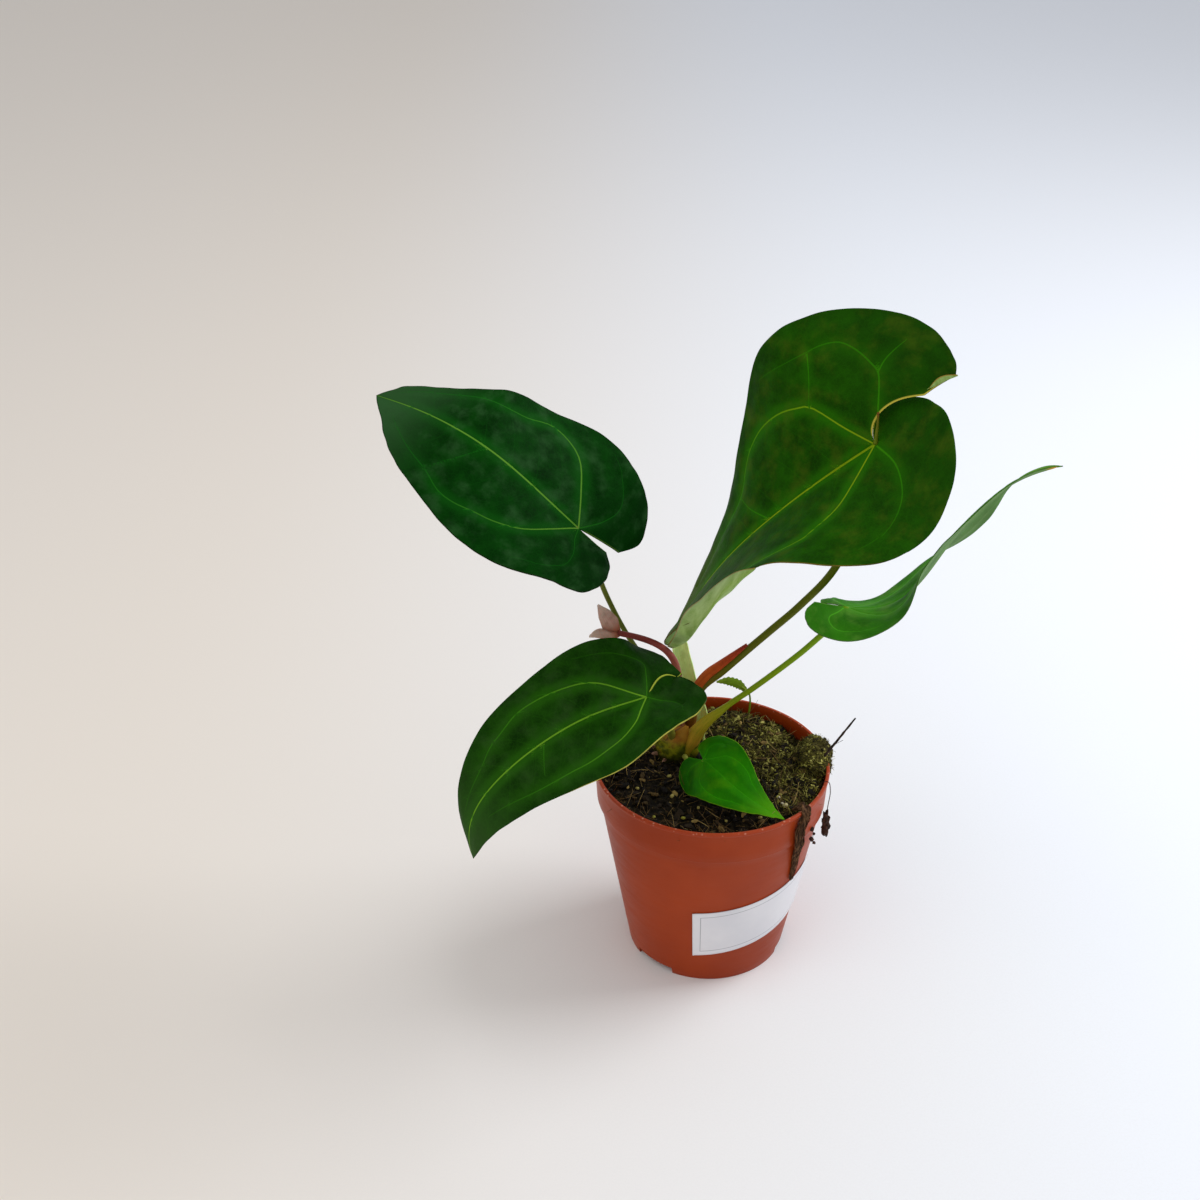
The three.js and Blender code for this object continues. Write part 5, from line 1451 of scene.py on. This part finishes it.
bed = laid(220, 90, bed_rule)
pot_floor = FLOOR_HEIGHT + WALL
skirt = [
    (WALL_TOP_RADIUS - WALL - 0.35, COLLAR_FOOT - WALL),
    (wall_radius(pot_floor) - WALL - 0.3, pot_floor + 0.3),
]
for radius, z in skirt:
    rim_edges = [edge for edge in bed.edges if edge.is_boundary]
    added = bmesh.ops.extrude_edge_only(bed, edges=rim_edges)["geom"]
    for vert in (item for item in added if isinstance(item, bmesh.types.BMVert)):
        outward = Vector((vert.co.x, vert.co.y, 0)).normalized()
        vert.co = outward * radius * MM + Vector((0, 0, z * MM))
piece("peat_bed", closed(bed), [soil_finish()], ["soil"])


# %% A way to scatter
def copies(template, matrices, shades):
    """A mesh with one copy of the template for each matrix, which each carry a shade of their own."""
    whole = bmesh.new()
    for _ in matrices:
        whole.from_mesh(template)
    mesh = bpy.data.meshes.new("copies")
    whole.to_mesh(mesh)
    whole.free()
    points = np.empty(len(mesh.vertices) * 3)
    mesh.vertices.foreach_get("co", points)
    points = points.reshape(len(matrices), -1, 3)
    turns = np.array([np.array(matrix) for matrix in matrices])
    moved = np.einsum("nij,nkj->nki", turns[:, :3, :3], points) + turns[:, None, :3, 3]
    mesh.vertices.foreach_set("co", moved.ravel())
    layer = mesh.attributes.new("shade", "FLOAT", "POINT")
    layer.data.foreach_set("value", np.repeat(shades, points.shape[1]))
    mesh.update()
    return mesh


def template_mesh(form):
    mesh = bpy.data.meshes.new("template")
    form.to_mesh(mesh)
    form.free()
    return mesh


def chip_template():
    """A small uneven lump with few faces, longer than it is wide."""
    form = bmesh.new()
    bmesh.ops.create_icosphere(form, subdivisions=1, radius=1)
    for vert in form.verts:
        vert.co *= 1 + 0.28 * noise.noise(vert.co * 1.7)
    bmesh.ops.scale(form, vec=(1, 0.55, 0.32), verts=form.verts)
    return template_mesh(form)


def strand_template():
    """A thin bent strand, one unit long, that stands on its foot."""
    form = bmesh.new()
    bmesh.ops.create_cone(form, cap_ends=True, segments=3, radius1=0.05, radius2=0.02, depth=1,
                          matrix=Matrix.Translation((0, 0, 0.5)))
    upright = [edge for edge in form.edges if abs(edge.verts[0].co.z - edge.verts[1].co.z) > 0.5]
    bmesh.ops.subdivide_edges(form, edges=upright, cuts=4)
    for vert in form.verts:
        vert.co.x += 0.22 * vert.co.z**2
        vert.co.y += 0.1 * math.sin(3.5 * vert.co.z)
    return template_mesh(form)


def random_place(reach, wanted=None):
    """A draw of x and y on the soil, kept where wanted says so."""
    while True:
        radius = reach * math.sqrt(RNG.random())
        angle = 2 * math.pi * RNG.random()
        x, y = radius * math.cos(angle), radius * math.sin(angle)
        if wanted is None or RNG.random() < wanted(x, y):
            return x, y


def tipped(lean):
    """A small turn about a level axis, drawn at random up to the lean."""
    about_x = Matrix.Rotation(lean * (RNG.random() * 2 - 1), 4, "X")
    return about_x @ Matrix.Rotation(lean * (RNG.random() * 2 - 1), 4, "Y")


def scattered(count, size, lean, lift, reach, wanted=None, stretch=(1, 1, 1)):
    """Matrices for copies on the soil, with sizes between the two given and turned at random."""
    matrices = []
    for _ in range(count):
        x, y = random_place(reach, wanted)
        scale = size[0] + (size[1] - size[0]) * RNG.random() ** 2
        turn = Matrix.Rotation(2 * math.pi * RNG.random(), 4, "Z")
        tip = tipped(lean)
        z = soil_height(x, y) + MOSS_RAISE * mossy(x, y) + lift * scale
        place = Matrix.Translation((x * MM, y * MM, z * MM))
        matrices.append(place @ turn @ tip @ Matrix.Diagonal((*(scale * s * MM for s in stretch), 1)))
    return matrices


CLUMPS = {"middle": 0.38, "small": 0.7, "wide": 0.6, "stray": 0.2}


def clumped(matrices, size=4.5):
    """A shade for each copy, like that of the copies near it, so that light and dark clumps form."""
    spots = np.array([matrix.translation[:] for matrix in matrices]) / MM
    light = CLUMPS["middle"] + CLUMPS["small"] * rough(spots, size)
    light += CLUMPS["wide"] * rough(spots, 2.2 * size, 9)
    return np.clip(light + CLUMPS["stray"] * RNG.normal(size=len(spots)), 0, 1)


print("share of moss on the right:", round(float(mossy(40, 0)), 2))


# %% Finishes for what is scattered
def litter_finish(name, stops, scale=700, dull=0.85):
    """A tone for each copy from its own shade, with fine mottling on top."""
    mix = Finish(name)
    tone = mix.ramp(mix.mark("shade"), stops)
    mottle = mix.noise(mix.place(), scale, 4)
    darker = mix_down(colour(*stops[0][1:]), 0.6)
    tone = mix.over(tone, darker, mottle, 0.4, 0.75, 0.6)
    return mix.done(tone, dull, mix.bump(mottle, 0.3, 0.6), shine=0.2)


BARK_STOPS = [(0, 17, 12, 7), (0.5, 46, 34, 18), (0.85, 104, 82, 42), (1, 178, 150, 84)]
ROOT_STOPS = [(0, 62, 44, 26), (0.6, 134, 104, 58), (1, 196, 168, 104)]
MOSS_STOPS = [(0, 34, 28, 10), (0.35, 86, 76, 32), (0.65, 140, 134, 54), (1, 222, 214, 120)]
GRANULE_STOPS = [(0, 150, 146, 52), (0.6, 176, 160, 92), (1, 236, 228, 208)]
bark_tones = litter_finish("bark_chips", BARK_STOPS)
root_tones = litter_finish("thin_roots", ROOT_STOPS)
moss_tones = litter_finish("moss_strands", MOSS_STOPS)
granule_tones = litter_finish("granules", GRANULE_STOPS, 500, 0.6)
print("finishes for", bark_tones.name, root_tones.name, moss_tones.name, granule_tones.name)

# %% Chips, roots and moss on the soil
CHIPS = 1100
FINE_ROOTS = 420
FRONT_ROOTS = 170
MOSS_STRANDS = 2600
MOSS_LEAFLETS = 1700

# Each granule's place on the soil, its size and its shade.
GRANULES = [(-30.3, -36.5, 1.3, 0), (-16, -37.3, 1.4, 0), (32.7, -22.7, 1.3, 1), (33.8, -27.6, 1.0, 0.95),
            (35.1, -29.2, 1.9, 0.7), (-20.9, -21.8, 1.6, 0.55), (-21.7, -2.5, 1.5, 0.5), (-8, -30, 1.2, 0.5),
            (5, -42, 1.1, 0.6), (22, -38, 1.3, 0.45), (-38, -12, 1.2, 0.5), (14, -31, 0.9, 1)]
GRANULE_LIFT = 1.6
chip = chip_template()
strand = strand_template()

chips = scattered(CHIPS, (0.5, 3.2), 0.6, 0.3, 55)
piece("bark_litter", copies(chip, chips, RNG.random(CHIPS) ** 2.4), [bark_tones], flat=True)

granules = []
for x, y, size, _ in GRANULES:
    place = Matrix.Translation((x * MM, y * MM, (soil_height(x, y) + GRANULE_LIFT) * MM))
    stretch = Matrix.Diagonal((size * MM, 1.3 * size * MM, 1.9 * size * MM, 1))
    granules.append(place @ Matrix.Rotation(x, 4, "Z") @ stretch)
shades = np.array([row[3] for row in GRANULES])
piece("pale_granules", copies(chip, granules, shades), [granule_tones])


def by_front_rim(x, y):
    """1 in the band of loose roots along the front of the rim."""
    return float(math.hypot(x, y) > 47 and y < -18)


roots = scattered(FINE_ROOTS, (4, 13), 1.45, 0.03, 53, None, (0.4, 0.4, 1))
roots += scattered(FRONT_ROOTS, (4, 10), 1.5, 0.06, 55.5, by_front_rim, (0.35, 0.35, 1))
piece("root_litter", copies(strand, roots, RNG.random(len(roots))), [root_tones])

strands = scattered(MOSS_STRANDS, (1.2, 4.2), 1.25, 0.1, 55.5, mossy, (1.5, 1.5, 1))
piece("moss_growth", copies(strand, strands, clumped(strands)), [moss_tones])

leaflets = scattered(MOSS_LEAFLETS, (0.5, 1.5), 1.2, 0.9, 55.5, mossy)
piece("moss_leaflets", copies(chip, leaflets, clumped(leaflets, 3.5)), [moss_tones], flat=True)

# %% [markdown]
# ## Moss over the rim, the root strip, the crumb and the seedling
# On the right a cushion of moss has grown over the rim. In front of it a strip of dead roots hangs down
# the outside of the pot, and beside that a crumb of bark dangles on a thread. A dry twig sticks out of
# the cushion, and a seedling has come up at the back. These small accidents are what tells a real pot
# from a model of one.

# %% Moss cushion
MOSS = {"centre": (54, 9, 106), "radii": (8.5, 15, 8.5)}
CUSHION_STRANDS = 700
CUSHION_LEAFLETS = 1300
LOWEST_TUFT = -0.25
TUFT_LEAN = 0.55


def cushion_swell(points):
    """How far the cushion's lumps stand out, as a share of its radius."""
    return 1 + 0.2 * rough(points, 4.5) + 0.09 * rough(points, 1.8, 5)


def lumpy_ball(radii, centre, swell):
    """A ball of the given radii, with lumps that stand out as swell says for its points."""
    form = bmesh.new()
    bmesh.ops.create_icosphere(form, subdivisions=5, radius=1)
    points = np.array([vert.co[:] for vert in form.verts]) * np.array(radii)
    for vert, point in zip(form.verts, (points * swell(points)[:, None] + np.array(centre)) * MM):
        vert.co = point
    return form


def on_cushion(count, smallest, largest):
    """Matrices for copies that stand on the cushion, most of them small."""
    matrices = []
    while len(matrices) < count:
        way = Vector(RNG.normal(size=3)).normalized()
        if way.z < LOWEST_TUFT:
            continue
        spread = np.array(way) * MOSS["radii"]
        swell = cushion_swell(spread[None])[0]
        point = Vector(spread * swell + MOSS["centre"])
        leaning = way + Vector(RNG.normal(size=3)) * TUFT_LEAN
        turn = leaning.to_track_quat("Z", "Y").to_matrix().to_4x4()
        size = (smallest + (largest - smallest) * RNG.random() ** 2) * MM
        matrices.append(Matrix.Translation(point * MM) @ turn @ Matrix.Diagonal((size, size, size, 1)))
    return matrices


cushion = lumpy_ball(MOSS["radii"], MOSS["centre"], cushion_swell)
all_moss = cushion.verts.layers.float.new("moss")
for vert in cushion.verts:
    vert[all_moss] = 1.0
piece("moss_cushion", cushion, [soil_finish()], ["moss_clump"])
tufts = on_cushion(CUSHION_STRANDS, 0.8, 2.8)
piece("cushion_strands", copies(strand, tufts, clumped(tufts)), [moss_tones])
leaflets = on_cushion(CUSHION_LEAFLETS, 0.4, 1.3)
piece("cushion_leaflets", copies(chip, leaflets, clumped(leaflets, 3)), [moss_tones], flat=True)

# %% Root strip down the wall
STRIP_FIBRES = 90
FIBRE = {"rows": 1.6, "spread": 1.25, "drift": 0.4, "above": 0.5, "stray": 0.35, "thin": 0.14,
         "thicker": 0.22}

# The strip's turn about the pot in degrees, its radius, its height and its width, from the soil down.
STRIP_ROWS = [
    (-40, 51, 104.9, 3.5), (-41.5, 56, 110, 4.2), (-42.5, 59, 111, 4.6), (-44, 61, 108.5, 4.6),
    (-47.5, 61, 101, 4.2), (-47, 60.4, 92, 3.8), (-44.5, wall_radius(84) + 1.4, 84, 3.2),
    (-42.5, wall_radius(73) + 1, 73, 2.6), (-41.5, wall_radius(62) + 1, 62, 1.4),
]


def on_pot(degrees, radius, z):
    angle = math.radians(degrees)
    return (radius * math.cos(angle), radius * math.sin(angle), z)


def strip_fibres():
    """Thin roots that run down the strip side by side, each over its own stretch of it."""
    forms = []
    for _ in range(STRIP_FIBRES):
        start, end = sorted(RNG.random(2) * (len(STRIP_ROWS) - 1))
        if end - start < 1.2:
            end = min(start + FIBRE["rows"], len(STRIP_ROWS) - 1)
            start = end - FIBRE["rows"]
        side = RNG.random() - 0.5
        route = []
        for place in np.linspace(start, end, 7):
            numbers = np.arange(len(STRIP_ROWS))
            degrees, radius, z, width = (np.interp(place, numbers, column) for column in zip(*STRIP_ROWS))
            drift = side * width * FIBRE["spread"] + RNG.normal() * FIBRE["drift"]
            outside = radius + FIBRE["above"] + abs(RNG.normal()) * FIBRE["stray"]
            route.append(on_pot(degrees + math.degrees(drift / radius), outside, z))
        thick = FIBRE["thin"] + FIBRE["thicker"] * RNG.random()
        forms.append(tube(route, lambda v, thick=thick: thick * (1.02 - v) ** 0.4, 5, 26))
    return forms


def fibre_finish():
    """Dead roots: dark and light brown in fine streaks that run down the wall, with a paler patch or two."""
    mix = Finish("dead_roots")
    streaks = mix.noise(mix.place((1, 1, 0.25)), 700, 4)
    tone = mix.ramp(streaks, [(0.3, 30, 19, 12), (0.48, 70, 48, 31), (0.7, 134, 98, 68)])
    tone = mix.over(tone, colour(146, 106, 70), mix.noise(mix.place(), 90, 3), 0.5, 0.7, 0.6)
    return mix.done(tone, 0.85, mix.bump(streaks, 0.4, 0.8))


strip_route = [on_pot(degrees, radius, z) for degrees, radius, z, _ in STRIP_ROWS]
strip_body = strip(strip_route, (0.7, -0.7, 0.1), [row[3] for row in STRIP_ROWS], 0.15, 14, 110, 0.5)
root_brown = fibre_finish()
piece("root_mat", strip_body, [root_brown], ["root_strip"], 1.0)
piece("root_threads", joined(strip_fibres()), [root_brown])

# %% Hanging crumb, twig and seedling
CRUMB = {"thread": [(51, -17, 99), (52.5, -17.8, 106), (54.5, -18.6, 110.8), (57.4, -19.4, 111.4),
                    (58.6, -19.8, 106), (58, -19.8, 97), (57.2, -19.8, 87)],
         "centre": (57.4, -20.2, 85.5), "radii": (2, 2, 7.5)}
TWIG = [(53, 4, 100), (55, 3, 107), (58.3, 1.5, 113.5), (64.5, 0.8, 124.5), (71.5, 0.5, 136.5)]
HAIR = [(57, 4, 110), (60, 3, 116.5), (63.5, 2.5, 119.5), (66.5, 2, 122)]
SEEDLING_STALK = [(22, 48, 98), (22.8, 49.5, 106), (23.3, 51, 112.5), (22.4, 51.6, 117.6),
                  (18.5, 51.8, 121.4)]
LITTLE_CRUMBS = [(48.6, -33, 92.5, 1.1), (50.2, -33, 89.5, 0.8), (48.8, -33, 86.2, 1.2), (50.4, -33, 84, 0.7)]
LITTLE_THREAD = [(46, -33, 96), (49, -33, 93), (49.6, -33, 88), (49.8, -33, 83)]


def crumb_swell(points):
    """How far the crumb's lumps stand out, as a share of its radius."""
    return 1 + 0.5 * rough(points, 2.6) + 0.3 * rough(points, 1.1, 6)


def bark_finish(name, dark, light):
    mix = Finish(name)
    grain = mix.noise(mix.place((1, 1, 0.4)), 900, 5, 0.7)
    tone = mix.blend(mix.fade(grain, 0.35, 0.7), dark, light)
    return mix.done(tone, 0.8, mix.bump(grain, 0.5, 0.8), shine=0.2)


def small_crumb(x, y, z, size):
    """One of the little crumbs on the thinner thread."""
    form = bmesh.new()
    centre = Vector((x, y, z)) * MM
    place = Matrix.Translation(centre)
    bmesh.ops.create_icosphere(form, subdivisions=3, radius=size * MM, matrix=place)
    for vert in form.verts:
        vert.co += (vert.co - centre) * 0.8 * noise.noise(vert.co * 600)
    return form


crumb_forms = [small_crumb(*row) for row in LITTLE_CRUMBS]
crumb_forms += [tube(LITTLE_THREAD, lambda v: 0.16 + 0 * v, 5, 30)]
crumb_forms += [lumpy_ball(CRUMB["radii"], CRUMB["centre"], crumb_swell)]
crumb_forms += [tube(CRUMB["thread"], lambda v: 0.22 + 0 * v, 6, 60)]
crumb_bark = bark_finish("crumb_bark", colour(34, 20, 14), colour(86, 54, 40))
piece("bark_crumb", joined(crumb_forms), [crumb_bark], ["hanging_crumb"])

twig_forms = [tube(TWIG, lambda v: 0.85 - 0.4 * v, 10, 70, wobble=0.15)]
twig_forms += [tube(HAIR, lambda v: 0.12 + 0 * v, 5, 30)]
twig_bark = bark_finish("twig_bark", colour(30, 22, 20), colour(78, 60, 50))
piece("dry_twig", joined(twig_forms), [twig_bark], ["twig"])

seedling_stops = [(0, 124, 144, 34), (0.5, 112, 144, 22), (1, 136, 156, 40)]
seedling_leaf = papery_finish("seedling_green", seedling_stops, colour(84, 112, 14), dull=0.6)
seedling_forms = [strip(**SCALES["seedling_leaf"], teeth=9)]
seedling_forms += [tube(SEEDLING_STALK, lambda v: 0.42 - 0.12 * v, 8, 40)]
piece("seedling_plant", joined(seedling_forms), [seedling_leaf], ["seedling"], 0.3)

# %% [markdown]
# ## The end

# %% Done
print("every piece is made")
